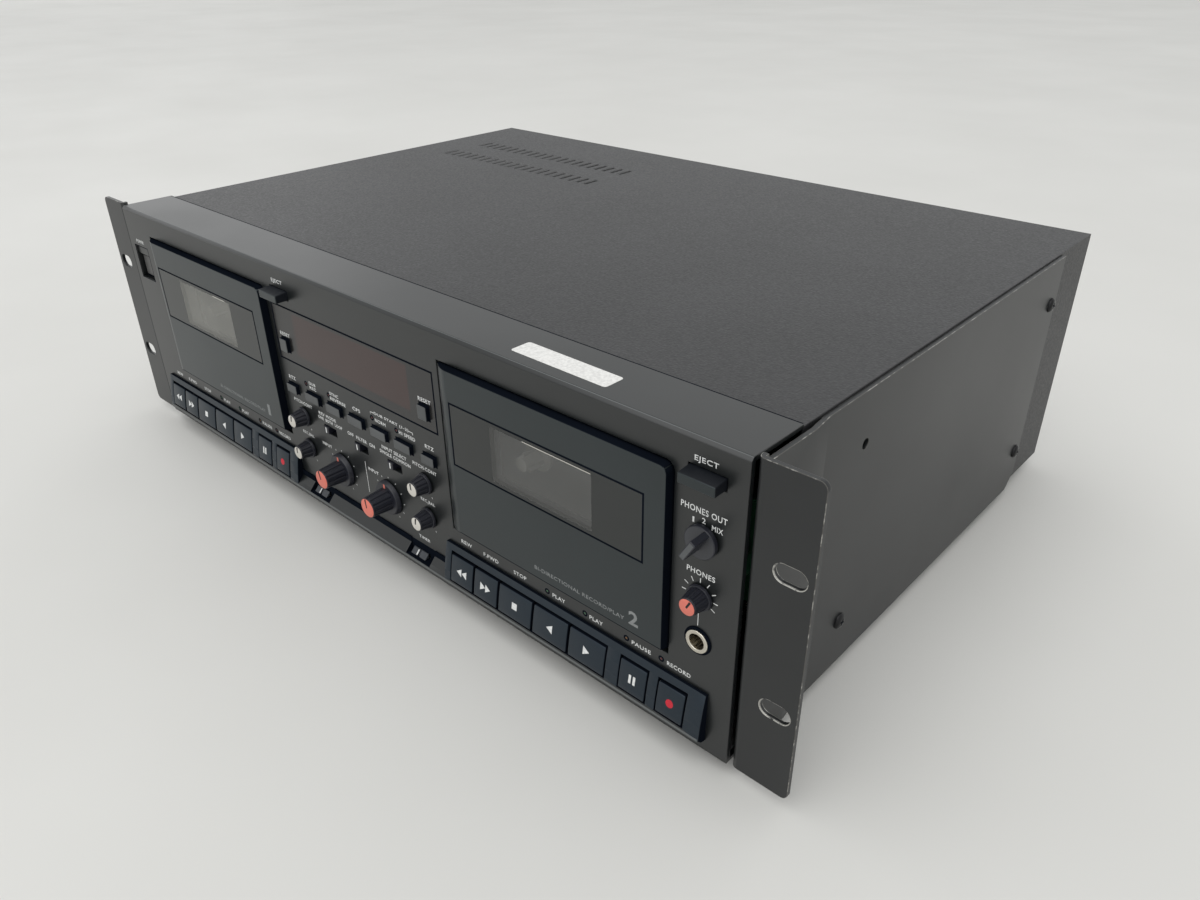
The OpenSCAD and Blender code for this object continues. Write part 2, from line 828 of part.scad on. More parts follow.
// Frame of one tape mechanism with its motor and heads, and two capstans with their flywheels
module deck_frame(side) {
    x = side * door_x;
    plate_y1 = frame_y + frame_t;
    color([0.6, 0.6, 0.62])
    place() {
        difference() {
            union() {
                block([x - frame_half, frame_y, frame_z0], [x + frame_half, plate_y1, frame_z1]);
                rod(x, motor_z, motor_r, plate_y1 + seat_gap, plate_y1 + motor_len);
                tile(x, capstan_z, head_w, head_h, frame_y - head_d, frame_y - seat_gap);
            }
            for (e = [-1, 1]) {
                rod(x + e * reel_gap / 2, reel_z, reel_shaft_r + run, frame_y - 1, plate_y1 + 1);
                rod(x + e * capstan_x, capstan_z, capstan_r + 2 * run, frame_y - 1, plate_y1 + 1);
            }
        }
        for (e = [-1, 1], z = post_heights)
            rod(x + e * post_x, z, post_r, back_y, frame_y - seat_gap);
        tile(x, capstan_z, 2 * bridge_x + 4, bridge_h, bridge_y, bridge_y + frame_t);
        for (e = [-1, 1])
            tile(
                x + e * (bridge_x + 1), capstan_z, 2, bridge_h,
                plate_y1 + seat_gap, bridge_y - seat_gap
            );
        for (e = [-1, 1]) {
            rod(x + e * capstan_x, capstan_z, capstan_r, frame_y - 10, bridge_y - slack);
            rod(x + e * capstan_x, capstan_z, flywheel_r, flywheel_y, flywheel_y + flywheel_t);
        }
    }
}

// One reel spindle: a splined hub, a flange and the shaft that turns in the frame
module reel(side, end) {
    x = side * door_x + end * reel_gap / 2;
    flange_y = frame_y - 1.7;
    plate_y1 = frame_y + frame_t;
    color([0.85, 0.85, 0.82])
    place()
    union() {
        rod(x, reel_z, reel_r, frame_y - 11, flange_y + 0.5);
        for (a = [0, 120, 240])
            translate([x, 0, reel_z]) rotate([0, a, 0])
                block([-0.6, frame_y - 10, 0], [0.6, flange_y + 0.5, reel_r + 1.4]);
        rod(x, reel_z, reel_flange_r, flange_y, frame_y - 0.3);
        rod(x, reel_z, reel_shaft_r, frame_y - 1, plate_y1 + 1.8);
        rod(x, reel_z, reel_shaft_r + 1, plate_y1 + 0.4, plate_y1 + 1.8);
    }
}

// A body that slides in a hole of the panel, with the flange that keeps it in
module push_piece(x, z, w, h, proud) {
    tile(x, z, w, h, face_y - proud, back_y + 2 * slack);
    tile(x, z, w + 2 * flange, h + 2 * flange, back_y + slack, back_y + slack + flange);
}

// One of the small push buttons
module push_button(b) {
    color([0.3, 0.31, 0.33])
    place()
    push_piece(b[1], b[2], b[3], b[4], button_proud);
}

// One eject bar, with its top sloping a little towards the front
module eject_bar(x) {
    slope = 0.5;
    top = eject_z + eject_h / 2;
    color([0.2, 0.21, 0.22])
    place()
    difference() {
        push_piece(x, eject_z, eject_w, eject_h, eject_proud);
        along_x(x - eject_w, x + eject_w)
            polygon([
                [face_y - eject_proud - 1, top - slope],
                [face_y - eject_proud, top - slope],
                [face_y - 0.5, top],
                [face_y - 0.5, top + 1],
                [face_y - eject_proud - 1, top + 1],
            ]);
    }
}

// Power button at the bottom of its recess
module power_button() {
    w = power_w - 2 * power_margin - 2 * slack;
    h = power_h - power_step - 2 * power_margin - 2 * slack;
    z = power_z - power_step / 2;
    seat_y = face_y + power_depth + recess_wall;
    color([0.16, 0.16, 0.17])
    place() {
        tile(power_x, z, w, h, face_y + power_depth - 0.6, seat_y + 2 * slack);
        tile(power_x, z, w + 2 * flange, h + 2 * flange, seat_y + slack, seat_y + slack + flange);
    }
}

// One transport key: a slice of a slightly larger cylinder than the ledge, with a flange behind the ledge
module transport_key(side, i) {
    x0 = ledge_start(side) + key_left(i) + key_gap / 2;
    x1 = x0 + KEYS[i][1] - key_gap;
    color([0.16, 0.17, 0.2])
    place()
    union() {
        along_x(x0, x1) ledge_section(ledge_r + key_proud, key_z0, key_z1, key_back);
        along_x(x0, x1) ledge_section(ledge_r - wall - slack, key_z0 - key_flange, key_z1 + key_flange, key_back);
    }
}

// One slide switch of the panel, at the left end of its slot
module slide_switch(x) {
    rest_x = x - slide_travel / 2;
    color([0.2, 0.2, 0.22])
    place() {
        tile(rest_x, slide_z, slide_w, slide_h, face_y - slide_proud, back_y + 2 * slack);
        tile(rest_x, slide_z, slide_base_w, slide_base_h, back_y + slack, back_y + slack + flange);
    }
}

// Section of a timer switch's lobe, leaning back like the shelf
module timer_lobe() {
    polygon([
        [face_y - timer_proud, timer_z0],
        [face_y - slack, timer_z0],
        [face_y - slack, timer_z0 + timer_h],
        [face_y - timer_top, timer_z0 + timer_h],
    ]);
}

// Section of the lower web between its two lobes
module timer_web() {
    polygon([
        [face_y - timer_proud + timer_notch, timer_z0],
        [face_y - slack, timer_z0],
        [face_y - slack, timer_z0 + 0.7 * timer_h],
    ]);
}

// One timer switch, at the left end of its pocket
module timer_slide(side) {
    x = side * timer_x - timer_travel / 2;
    color([0.32, 0.33, 0.36])
    place()
    union() {
        along_x(x - timer_w / 2, x - timer_gap / 2) timer_lobe();
        along_x(x - timer_gap, x + timer_gap) timer_web();
        along_x(x + timer_gap / 2, x + timer_w / 2) timer_lobe();
        tile(x, timer_z, timer_neck, timer_neck_h, face_y - 0.5, back_y + 2 * slack);
        tile(x, timer_z, slide_base_w, slide_base_h, back_y + slack, back_y + slack + flange);
    }
}

// Grooves along a tapered knob, drawn with its axis upwards
module flutes(r, tip_r, h, start) {
    lean = atan((r - tip_r) / h);
    start_r = r - (r - tip_r) * start / h + flute_r / 3;
    for (i = [0:flute_count - 1])
        rotate([0, 0, i * 360 / flute_count]) translate([start_r, 0, start]) rotate([0, -lean, 0])
            cylinder(r = flute_r, h = h - start - flute_end);
}

// A ribbed round knob with its shaft and a skirt at its foot
module round_knob(x, z, r, tip_r, length, skirt, skirt_h, skirt_in) {
    foot = face_y - knob_gap;
    h = length - knob_gap;
    union() {
        translate([x, foot, z]) rotate([90, 0, 0]) difference() {
            cylinder(r1 = r, r2 = tip_r, h = h);
            flutes(r, tip_r, h, skirt_h);
        }
        translate([x, foot, z]) rotate([90, 0, 0]) cylinder(r1 = skirt, r2 = skirt - skirt_in, h = skirt_h);
        rod(x, z, shaft_r, foot - 0.5, pot_y + shaft_in);
    }
}

// The selector: a round foot with a standing bar that points to its third position
module pointer_knob(x, z) {
    foot = face_y - knob_gap;
    union() {
        rod(x, z, pointer_r, foot - pointer_base, foot);
        translate([x, 0, z]) rotate([0, pointer_turn, 0])
            tile(0, pointer_shift, pointer_t, pointer_bar, face_y - pointer_len, foot - 0.5);
        rod(x, z, shaft_r, foot - 0.5, pot_y + shaft_in);
    }
}

// One knob of the list
module knob(k) {
    color([0.14, 0.14, 0.17])
    place() {
        if (k[3] == "small")
            round_knob(k[1], k[2], small_body_r, small_knob_tip, small_knob_len, small_knob_r, small_collar, 0.2);
        if (k[3] == "phones")
            round_knob(k[1], k[2], small_body_r, small_knob_tip, phones_knob_len, small_knob_r, small_collar, 0.2);
        if (k[3] == "skirted")
            round_knob(k[1], k[2], input_body_r, input_knob_tip, input_knob_len, skirt_r, skirt_t, 0.8);
        if (k[3] == "pointer")
            pointer_knob(k[1], k[2]);
    }
}

// Boards with their stand-offs, potentiometers and display module, and the transformer
module electronics() {
    board_z = base_z1 + standoff_h;
    color([0.1, 0.35, 0.2])
    place() {
        block([main_board[0][0], main_board[0][1], board_z], [main_board[1][0], main_board[1][1], board_z + board_t]);
        block([-board_half, board_y, board_z0], [board_half, board_y + board_t, board_z1]);
        block(
            [column_x - column_board_half + 6, board_y, phones_z - 9],
            [column_post_x + 3, board_y + board_t, selector_z + 9]
        );
        for (s = [-1, 1], p = board_posts)
            rod(s * p[0], p[1], board_post_r, back_y, board_y);
        rod(column_post_x, column_post_z, board_post_r, back_y, board_y);
        for (k = KNOBS)
            difference() {
                rod(k[1], k[2], pot_r, pot_y, board_y);
                rod(k[1], k[2], shaft_r + run, pot_y - 1, pot_y + shaft_in + 1);
            }
        block(
            [-screen_half + 1, board_y - module_depth, screen_z0 + 1],
            [screen_half - 1, board_y, screen_z1 - 1]
        );
        block([transformer[0][0], transformer[0][1], base_z1], [transformer[1][0], transformer[1][1], base_z1 + transformer_h]);
        for (y = [transformer[0][1] - coil_reach, transformer[1][1]])
            block(
                [transformer[0][0] + 12, y, base_z1 + (transformer_h - coil_h) / 2],
                [transformer[1][0] - 12, y + coil_reach, base_z1 + (transformer_h + coil_h) / 2]
            );
    }
}

// Signal sockets and the mains inlet on the rear wall
module rear_sockets() {
    color([0.8, 0.7, 0.4])
    place() {
        for (i = [0:SOCKET_COLUMNS - 1], j = [0:SOCKET_ROWS - 1])
            difference() {
                union() {
                    rod(socket_x + i * socket_pitch_x, socket_z + j * socket_pitch_z, socket_flange_r, case_d, case_d + 1.5);
                    rod(socket_x + i * socket_pitch_x, socket_z + j * socket_pitch_z, socket_r, case_d, case_d + socket_len);
                }
                rod(
                    socket_x + i * socket_pitch_x, socket_z + j * socket_pitch_z, socket_hole_r,
                    case_d + 1, case_d + socket_len + 1
                );
            }
        difference() {
            tile(inlet_x, inlet_z, inlet_w, inlet_h, case_d, case_d + 3);
            tile(inlet_x, inlet_z, inlet_w - 5, inlet_h - 5, case_d + 0.8, case_d + 4);
        }
    }
}

front_panel();
base_chassis();
top_cover();
screws();
feet();
display_window();
phones_jack();
electronics();
rear_sockets();
power_button();
for (s = SIDES) {
    rack_bracket(s[1]);
    deck_frame(s[1]);
    cassette_door(s[1]);
    door_window(s[1]);
    eject_bar(s[1] < 0 ? eject_x[0] : eject_x[1]);
    timer_slide(s[1]);
    for (i = [0:len(KEYS) - 1])
        transport_key(s[1], i);
    for (r = SIDES)
        reel(s[1], r[1]);
}
for (b = BUTTONS)
    push_button(b);
for (s = SLIDES)
    slide_switch(s[1]);
for (k = KNOBS)
    knob(k);
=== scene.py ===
# %% [markdown]
# A rack-mount double cassette deck, dressed for a studio picture.
# The construction model already has every piece at its true size and in its true place. This lesson
# gives it looks: soft moulded edges, printed legends, lamps, knob caps and finishes.
# Nothing is fitted by eye, because both models share one frame.

# %% Load the construction model
import json
import math
import bpy
import bmesh
from mathutils import Matrix, Vector


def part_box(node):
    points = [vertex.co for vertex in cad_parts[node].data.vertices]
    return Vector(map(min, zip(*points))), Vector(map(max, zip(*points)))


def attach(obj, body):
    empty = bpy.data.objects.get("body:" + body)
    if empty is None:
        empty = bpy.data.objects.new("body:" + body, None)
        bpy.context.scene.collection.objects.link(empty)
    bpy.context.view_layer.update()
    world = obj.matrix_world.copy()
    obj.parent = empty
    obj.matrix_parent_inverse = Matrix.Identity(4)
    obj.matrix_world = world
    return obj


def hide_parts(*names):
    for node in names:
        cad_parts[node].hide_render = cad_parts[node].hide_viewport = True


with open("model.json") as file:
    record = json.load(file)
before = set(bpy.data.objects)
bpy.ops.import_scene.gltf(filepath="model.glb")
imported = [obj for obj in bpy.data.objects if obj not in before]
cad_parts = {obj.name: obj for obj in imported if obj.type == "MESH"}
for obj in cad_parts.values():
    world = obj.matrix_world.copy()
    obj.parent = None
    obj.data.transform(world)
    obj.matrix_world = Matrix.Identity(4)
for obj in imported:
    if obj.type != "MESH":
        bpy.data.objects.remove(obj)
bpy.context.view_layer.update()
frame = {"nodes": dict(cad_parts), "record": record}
scene = bpy.context.scene

# %% [markdown]
# Sizes on the real deck are read in millimetres from the front face of the rack ears and from their
# lower edge, because a rack is measured that way. One helper turns such a place into metres.
# A second one seats a shape that was drawn flat, with its outer side up, on any face of the deck.

# %% Places and directions
MM = 0.001
EAR_LOW = Vector(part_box("rack_bracket_left")[0])
FRONT = Matrix.Rotation(math.radians(90), 4, "X")
RIGHT = Matrix.Rotation(math.radians(90), 4, "Y")
LEFT = Matrix.Rotation(math.radians(-90), 4, "Y")
TOP = Matrix.Identity(4)


def at(x, y, z):
    """A place given in millimetres from the ears' face and lower edge, in metres."""
    return Vector((x * MM, EAR_LOW.y + y * MM, EAR_LOW.z + z * MM))


def seat(x, y, z, facing=FRONT, turn=0.0):
    """Puts a shape drawn flat in millimetres on a face; turn is clockwise, in degrees."""
    spin = Matrix.Rotation(math.radians(-turn), 4, "Z")
    return Matrix.Translation(at(x, y, z)) @ facing @ spin @ Matrix.Scale(MM, 4)


print("ears' face at y =", round(EAR_LOW.y, 4), "and lower edge at z =", round(EAR_LOW.z, 4))

# %% [markdown]
# The camera comes first, so every later step is judged in the same view. A phone held close to the
# right front corner took the picture, so the lens is wide and the near ear looks large.
# Its place was found from the known size of the ears and the slots in them.

# %% Camera
CAMERA_PLACE = (343.466, -206.531, 270.726)
CAMERA_TURN = (60.157, 0.479, 42.331)
PICTURE_WIDTH = 1200
FOCAL_PIXELS = 924.668

lens = bpy.data.cameras.new("photo_camera")
lens.sensor_fit = "HORIZONTAL"
lens.sensor_width = 36.0
lens.lens = FOCAL_PIXELS / PICTURE_WIDTH * lens.sensor_width
lens.clip_start = 0.01
camera = bpy.data.objects.new("photo_camera", lens)
camera.location = at(*CAMERA_PLACE)
camera.rotation_euler = [math.radians(angle) for angle in CAMERA_TURN]
scene.collection.objects.link(camera)
scene.camera = camera
print("lens", round(lens.lens, 2), "mm")

# %% [markdown]
# A finish is one shader with noise in the object's own coordinates behind its colour, roughness and
# bump. An even colour would be quicker, but it looks like paint in a drawing. Values that are the same
# all over the surface are set on the shader itself. Noise scales are in specks per metre.

# %% Building blocks of a finish


def new_finish(name, **values):
    """A finish whose constant values sit on the shader's own sockets."""
    finish = bpy.data.materials.new(name)
    finish.use_nodes = True
    shader = finish.node_tree.nodes["Principled BSDF"]
    for socket, value in values.items():
        shader.inputs[socket.replace("_", " ")].default_value = value
    return finish


def tree_of(finish):
    """The nodes of a finish and the links between them."""
    return finish.node_tree.nodes, finish.node_tree.links


def noise(finish, scale, detail=2.0, stretch=(1.0, 1.0, 1.0)):
    """Noise in object coordinates, drawn out along an axis where stretch is below one."""
    nodes, links = tree_of(finish)
    coords = nodes.new("ShaderNodeTexCoord")
    mapping = nodes.new("ShaderNodeMapping")
    texture = nodes.new("ShaderNodeTexNoise")
    mapping.inputs["Scale"].default_value = stretch
    texture.inputs["Scale"].default_value = scale
    texture.inputs["Detail"].default_value = detail
    links.new(coords.outputs["Object"], mapping.inputs["Vector"])
    links.new(mapping.outputs["Vector"], texture.inputs["Vector"])
    return texture.outputs[0]


def blend_colour(finish, factor, first, second, low=0.35, high=0.65):
    """Runs the base colour from one shade to another."""
    nodes, links = tree_of(finish)
    ramp = nodes.new("ShaderNodeValToRGB")
    ramp.color_ramp.elements[0].position = low
    ramp.color_ramp.elements[0].color = (*first, 1.0)
    ramp.color_ramp.elements[1].position = high
    ramp.color_ramp.elements[1].color = (*second, 1.0)
    links.new(factor, ramp.inputs["Fac"])
    links.new(ramp.outputs["Color"], nodes["Principled BSDF"].inputs["Base Color"])


def spread(finish, factor, socket, start, end, low=0.3, high=0.7):
    """Lets noise move one of the shader's values between two limits."""
    nodes, links = tree_of(finish)
    steps = nodes.new("ShaderNodeMapRange")
    steps.inputs["From Min"].default_value = low
    steps.inputs["From Max"].default_value = high
    steps.inputs["To Min"].default_value = start
    steps.inputs["To Max"].default_value = end
    links.new(factor, steps.inputs["Value"])
    links.new(steps.outputs["Result"], nodes["Principled BSDF"].inputs[socket])


def emboss(finish, factor, depth):
    """Raises the surface by noise; depth is in metres."""
    nodes, links = tree_of(finish)
    bump = nodes.new("ShaderNodeBump")
    bump.inputs["Distance"].default_value = depth
    links.new(factor, bump.inputs["Height"])
    links.new(bump.outputs["Normal"], nodes["Principled BSDF"].inputs["Normal"])


def shades(colour, amount):
    """Two neighbours of a colour, darker and lighter by the same share."""
    return [c * (1 - amount) for c in colour], [c * (1 + amount) for c in colour]


# %% [markdown]
# The mouldings are spark-eroded ABS: nearly black, with a fine satin grain that is only felt by a
# fingernail. Broad, faint patches in colour and gloss come from handling. One helper makes them all,
# and each group of pieces gets its own shade, as on the real front.

# %% Moulded plastics


def moulded(name, colour, roughness, speck=2600.0, depth=0.00001, mottle=0.12, **values):
    """A satin plastic with fine grain and faint handling marks."""
    finish = new_finish(name, **values)
    blend_colour(finish, noise(finish, 22.0, 4.0), *shades(colour, mottle))
    spread(finish, noise(finish, 12.0, 3.0), "Roughness", roughness - 0.025, roughness + 0.03)
    emboss(finish, noise(finish, speck, 2.0), depth)
    return finish


COOL = (0.86, 0.97, 1.0, 1.0)
BLUISH = (0.7, 0.86, 1.0, 1.0)
panel_satin = moulded("panel_satin", (0.0085, 0.0102, 0.0106), 0.32, IOR=1.58)
door_satin = moulded("door_satin", (0.0075, 0.0102, 0.0114), 0.3, IOR=1.55, Specular_Tint=COOL)
key_satin = moulded("key_satin", (0.0065, 0.0102, 0.0155), 0.36, Specular_Tint=BLUISH)
# A light grey that paints a highlight on the panel's upper edge and on the ledge's rib.
highlight_grey = moulded("highlight_grey", (0.10, 0.108, 0.108), 0.42)
# A grey that paints light on the forward faces of the selector's grip.
bar_satin = moulded("bar_satin", (0.075, 0.08, 0.084), 0.45)
knob_satin = moulded("knob_satin", (0.0105, 0.0115, 0.018), 0.40)
button_satin = moulded("button_satin", (0.07, 0.075, 0.077), 0.42)
power_grey = moulded("power_grey", (0.09, 0.09, 0.088), 0.42)
# A grey that paints lesser light on the forward faces deep in the selector's scoop.
scoop_painted_light = moulded("scoop_painted_light", (0.034, 0.036, 0.042), 0.42)
slide_satin = moulded("slide_satin", (0.045, 0.05, 0.058), 0.42)
# A near-black for black bezels and joints, which also paints shade on walls, flanks, gaps and recesses.
black_and_shade = moulded("black_and_shade", (0.0055, 0.0075, 0.012), 0.6, Specular_IOR_Level=0.0)
# A near-black that paints shade on the flanks of the eject bars.
flank_shade_black = moulded("flank_shade_black", (0.0055, 0.0072, 0.0105), 0.5, Specular_IOR_Level=0.25)
cap_white = moulded("cap_white", (0.62, 0.595, 0.54), 0.45, mottle=0.06)
cap_orange = moulded("cap_orange", (0.68, 0.175, 0.128), 0.5, mottle=0.06)
reel_ivory = moulded("reel_ivory", (0.62, 0.61, 0.55), 0.4, mottle=0.05)
foot_rubber = moulded("foot_rubber", (0.012, 0.012, 0.012), 0.8, speck=1500.0, depth=0.00006)
print("plastics ready")

# %% [markdown]
# The cover is steel with a baked leather-grain paint: small rounded cells with valleys between them.
# A cell texture gives that better than plain noise. The brackets have a smoother satin paint, and it is
# rubbed through to steel at the slots. Their edge bevels get a lighter paint, which is a painted
# highlight, rubbed through to steel in spots. Steel that was cut after painting is a plain grey, and its
# lightness is partly a painted highlight.

# %% Painted steel


def leather_grain(name, colour, roughness, cells, depth):
    """Grained paint: rounded cells of slightly uneven size."""
    finish = new_finish(name)
    nodes, links = tree_of(finish)
    coords = nodes.new("ShaderNodeTexCoord")
    cell = nodes.new("ShaderNodeTexVoronoi")
    cell.feature = "SMOOTH_F1"
    cell.inputs["Scale"].default_value = cells
    links.new(coords.outputs["Object"], cell.inputs["Vector"])
    emboss(finish, cell.outputs["Distance"], depth)
    blend_colour(finish, noise(finish, 14.0, 6.0), *shades(colour, 0.14))
    spread(finish, noise(finish, 900.0, 3.0), "Roughness", roughness - 0.06, roughness + 0.08)
    return finish


def rubbed(name, paint, steel, low, high):
    """Paint that is rubbed through to steel in places."""
    finish = new_finish(name)
    blend_colour(finish, noise(finish, 420.0, 6.0), paint, steel, low, high)
    spread(finish, noise(finish, 420.0, 6.0), "Metallic", 0.0, 1.0, low, high)
    spread(finish, noise(finish, 1500.0, 3.0), "Roughness", 0.28, 0.46)
    emboss(finish, noise(finish, 1800.0, 3.0), 0.00001)
    return finish


PAINT = (0.0115, 0.0128, 0.0135)
# The edge paint is lighter than the bracket paint, a painted highlight on the edge bevels.
EDGE_HIGHLIGHT_PAINT = (0.065, 0.063, 0.057)
STEEL = (0.50, 0.49, 0.46)
cover_grain = leather_grain("cover_grain", (0.0175, 0.0177, 0.0192), 0.46, 1150.0, 0.00009)
bracket_paint = moulded("bracket_paint", PAINT, 0.37, speck=1400.0, depth=0.00002)
worn_and_highlit_edge = rubbed("worn_and_highlit_edge", EDGE_HIGHLIGHT_PAINT, STEEL, 0.52, 0.72)
bare_rim = rubbed("bare_rim", PAINT, STEEL, 0.36, 0.46)
# The grey of cut steel is partly bare steel and partly a painted highlight on the vents' walls.
bare_steel_highlight = moulded("bare_steel_highlight", (0.18, 0.18, 0.18), 0.5)
screw_black = moulded("screw_black", (0.014, 0.014, 0.015), 0.34, Metallic=0.6)
print("paints ready")

# %% [markdown]
# Bare metals show fine lines along the way they were rolled or turned. Stretching the noise along one
# axis draws those lines. The jack's collar is plated and a little warm, the chassis is zinc grey.

# %% Bare metals and boards


def metal(name, colour, roughness, stretch, scale=1400.0, depth=0.000006):
    """A metal with fine lines along the axis that is stretched."""
    finish = new_finish(name, Metallic=1.0)
    blend_colour(finish, noise(finish, 26.0, 4.0), *shades(colour, 0.08))
    spread(finish, noise(finish, scale, 3.0, stretch), "Roughness", roughness - 0.07, roughness + 0.1)
    emboss(finish, noise(finish, scale, 3.0, stretch), depth)
    return finish


zinc_steel = metal("zinc_steel", (0.52, 0.53, 0.54), 0.38, (0.04, 1.0, 1.0))
jack_chrome = metal("jack_chrome", (0.66, 0.62, 0.54), 0.22, (1.0, 0.05, 1.0))
socket_brass = metal("socket_brass", (0.62, 0.50, 0.27), 0.28, (1.0, 0.05, 1.0))
board_lacquer = moulded("board_lacquer", (0.03, 0.12, 0.06), 0.35, speck=700.0, depth=0.00003, mottle=0.3)
print("metals ready")

# %% [markdown]
# Acrylic is glossy and slightly wavy. The window over the counters is smoked and looks brown where the
# filter lies behind it. The door windows are printed dark at the back except for a clear middle, whose
# grey is a painted reflection of the pale room, lighter on the left door. That middle gets a low alpha,
# so the reels can be seen behind it.

# %% Acrylics and inks


def acrylic(name, colour, roughness, mottle=0.1, **values):
    """A glossy sheet with a faint wave in it."""
    finish = new_finish(name, **values)
    blend_colour(finish, noise(finish, 18.0, 2.0), *shades(colour, mottle))
    spread(finish, noise(finish, 25.0, 2.0), "Roughness", roughness, roughness + 0.03)
    emboss(finish, noise(finish, 25.0, 0.0), 0.000002)
    return finish


def ink(name, colour):
    """Screen-printed ink, a little uneven."""
    finish = new_finish(name)
    blend_colour(finish, noise(finish, 900.0, 3.0), *shades(colour, 0.1))
    spread(finish, noise(finish, 1200.0, 2.0), "Roughness", 0.5, 0.7)
    emboss(finish, noise(finish, 2400.0, 2.0), 0.000008)
    return finish


filter_brown = acrylic("filter_brown", (0.037, 0.0185, 0.0165), 0.22)
smoked_rim = acrylic("smoked_rim", (0.017, 0.0165, 0.0165), 0.22)
lens_dark = acrylic("lens_dark", (0.014, 0.0165, 0.016), 0.24)
# The two clear greys are painted reflection, the lighter one on the left door.
left_clear_reflection = acrylic("left_clear_reflection", (0.30, 0.30, 0.275), 0.2, mottle=0.1, Alpha=0.5)
right_clear_reflection = acrylic("right_clear_reflection", (0.17, 0.172, 0.165), 0.16, mottle=0.1, Alpha=0.42)
white_ink = ink("white_ink", (0.72, 0.73, 0.72))
dim_ink = ink("dim_ink", (0.22, 0.23, 0.23))
red_ink = ink("red_ink", (0.55, 0.012, 0.03))
black_ink = ink("black_ink", (0.006, 0.006, 0.007))
label_paper = ink("label_paper", (0.73, 0.725, 0.7))
lamp_red = acrylic("lamp_red", (0.09, 0.012, 0.012), 0.25)
lamp_green = acrylic("lamp_green", (0.03, 0.10, 0.045), 0.2)
lamp_amber = acrylic("lamp_amber", (0.16, 0.07, 0.015), 0.2)
print("acrylics and inks ready")

# %% [markdown]
# The floor is a plain pale table top, large enough for every other view. A grid of four faces does for
# it, and faint noise in its colour and gloss keeps it from looking like paper.

# %% Floor
FLOOR_SIZE = 14.0
floor_shape = bmesh.new()
bmesh.ops.create_grid(floor_shape, x_segments=2, y_segments=2, size=FLOOR_SIZE / 2)
floor_mesh = bpy.data.meshes.new("table_top")
floor_shape.to_mesh(floor_mesh)
floor_shape.free()
floor = bpy.data.objects.new("table_top", floor_mesh)
scene.collection.objects.link(floor)
table_white = new_finish("table_white")
blend_colour(table_white, noise(table_white, 3.0, 4.0), (0.665, 0.66, 0.63), (0.70, 0.695, 0.665))
spread(table_white, noise(table_white, 8.0, 5.0), "Roughness", 0.5, 0.62)
emboss(table_white, noise(table_white, 700.0, 2.0), 0.00001)
floor_mesh.materials.append(table_white)
print("floor of", FLOOR_SIZE, "metres")

# %% [markdown]
# The light is a bright room: a wide soft ceiling, and weaker lights at the left, behind the viewer and
# far behind. The side lights stand far off, because a lamp's own plane would draw an edge on the floor.

# %% Soft lamps


def soft_lamp(name, place, aim, size, watts):
    """A square soft light that looks at a point."""
    light = bpy.data.lights.new(name, "AREA")
    light.shape = "SQUARE"
    light.size = size
    light.energy = watts
    lamp = bpy.data.objects.new(name, light)
    lamp.location = place
    direction = Vector(aim) - Vector(place)
    lamp.rotation_euler = direction.to_track_quat("-Z", "Y").to_euler()
    scene.collection.objects.link(lamp)


soft_lamp("ceiling_light", (0.3, -1.15, 2.6), (0.1, -0.5, 0.0), 3.2, 40.0)
soft_lamp("front_light", (0.7, -4.6, 1.6), (0.0, -0.25, 0.0), 3.2, 18.0)
soft_lamp("left_light", (-4.8, 1.1, 1.7), (0.0, -0.1, 0.1), 3.2, 12.0)
soft_lamp("rear_light", (-0.8, 3.2, 2.4), (-0.8, 3.2001, 0.0), 3.0, 7.0)
print("lamps:", len(bpy.data.lights))

# %% [markdown]
# An even sky fills the shadows. The sky that the camera and the gloss see is paler than the one that
# lights, so the light stays at a plain level. The ray's kind chooses between the two.

# %% Sky
SKY_STRENGTH = 0.7
SKY_LIGHT = (0.98, 0.99, 1.0, 1.0)
SKY_SEEN = (0.79, 0.80, 0.80, 1.0)
sky = bpy.data.worlds.new("bright_room")
sky.use_nodes = True
scene.world = sky
sky_nodes = sky.node_tree.nodes
sky_links = sky.node_tree.links
lighting = sky_nodes["Background"]
lighting.inputs["Color"].default_value = SKY_LIGHT
lighting.inputs["Strength"].default_value = SKY_STRENGTH
seen = sky_nodes.new("ShaderNodeBackground")
seen.inputs["Color"].default_value = SKY_SEEN
rays = sky_nodes.new("ShaderNodeLightPath")
either = sky_nodes.new("ShaderNodeMath")
either.operation = "MAXIMUM"
also = sky_nodes.new("ShaderNodeMath")
also.operation = "MAXIMUM"
choose = sky_nodes.new("ShaderNodeMixShader")
sky_links.new(rays.outputs["Is Camera Ray"], either.inputs[0])
sky_links.new(rays.outputs["Is Glossy Ray"], either.inputs[1])
sky_links.new(either.outputs[0], also.inputs[0])
sky_links.new(rays.outputs["Is Transmission Ray"], also.inputs[1])
sky_links.new(also.outputs[0], choose.inputs["Fac"])
sky_links.new(lighting.outputs[0], choose.inputs[1])
sky_links.new(seen.outputs[0], choose.inputs[2])
sky_links.new(choose.outputs[0], sky_nodes["World Output"].inputs["Surface"])
scene.view_settings.view_transform = "Standard"
print("sky of strength", SKY_STRENGTH)

# %% [markdown]
# A construction solid has razor-sharp edges, and no moulded or pressed piece has. A bevel modifier
# could round them live, but a copy of the solid in bmesh lets us choose the edges. The copy is welded
# first, flat triangles are joined to whole faces, and then its outer edges are rounded. A flat face
# with holes in it is parted along a line through each hole, because a whole face can't have a hole.

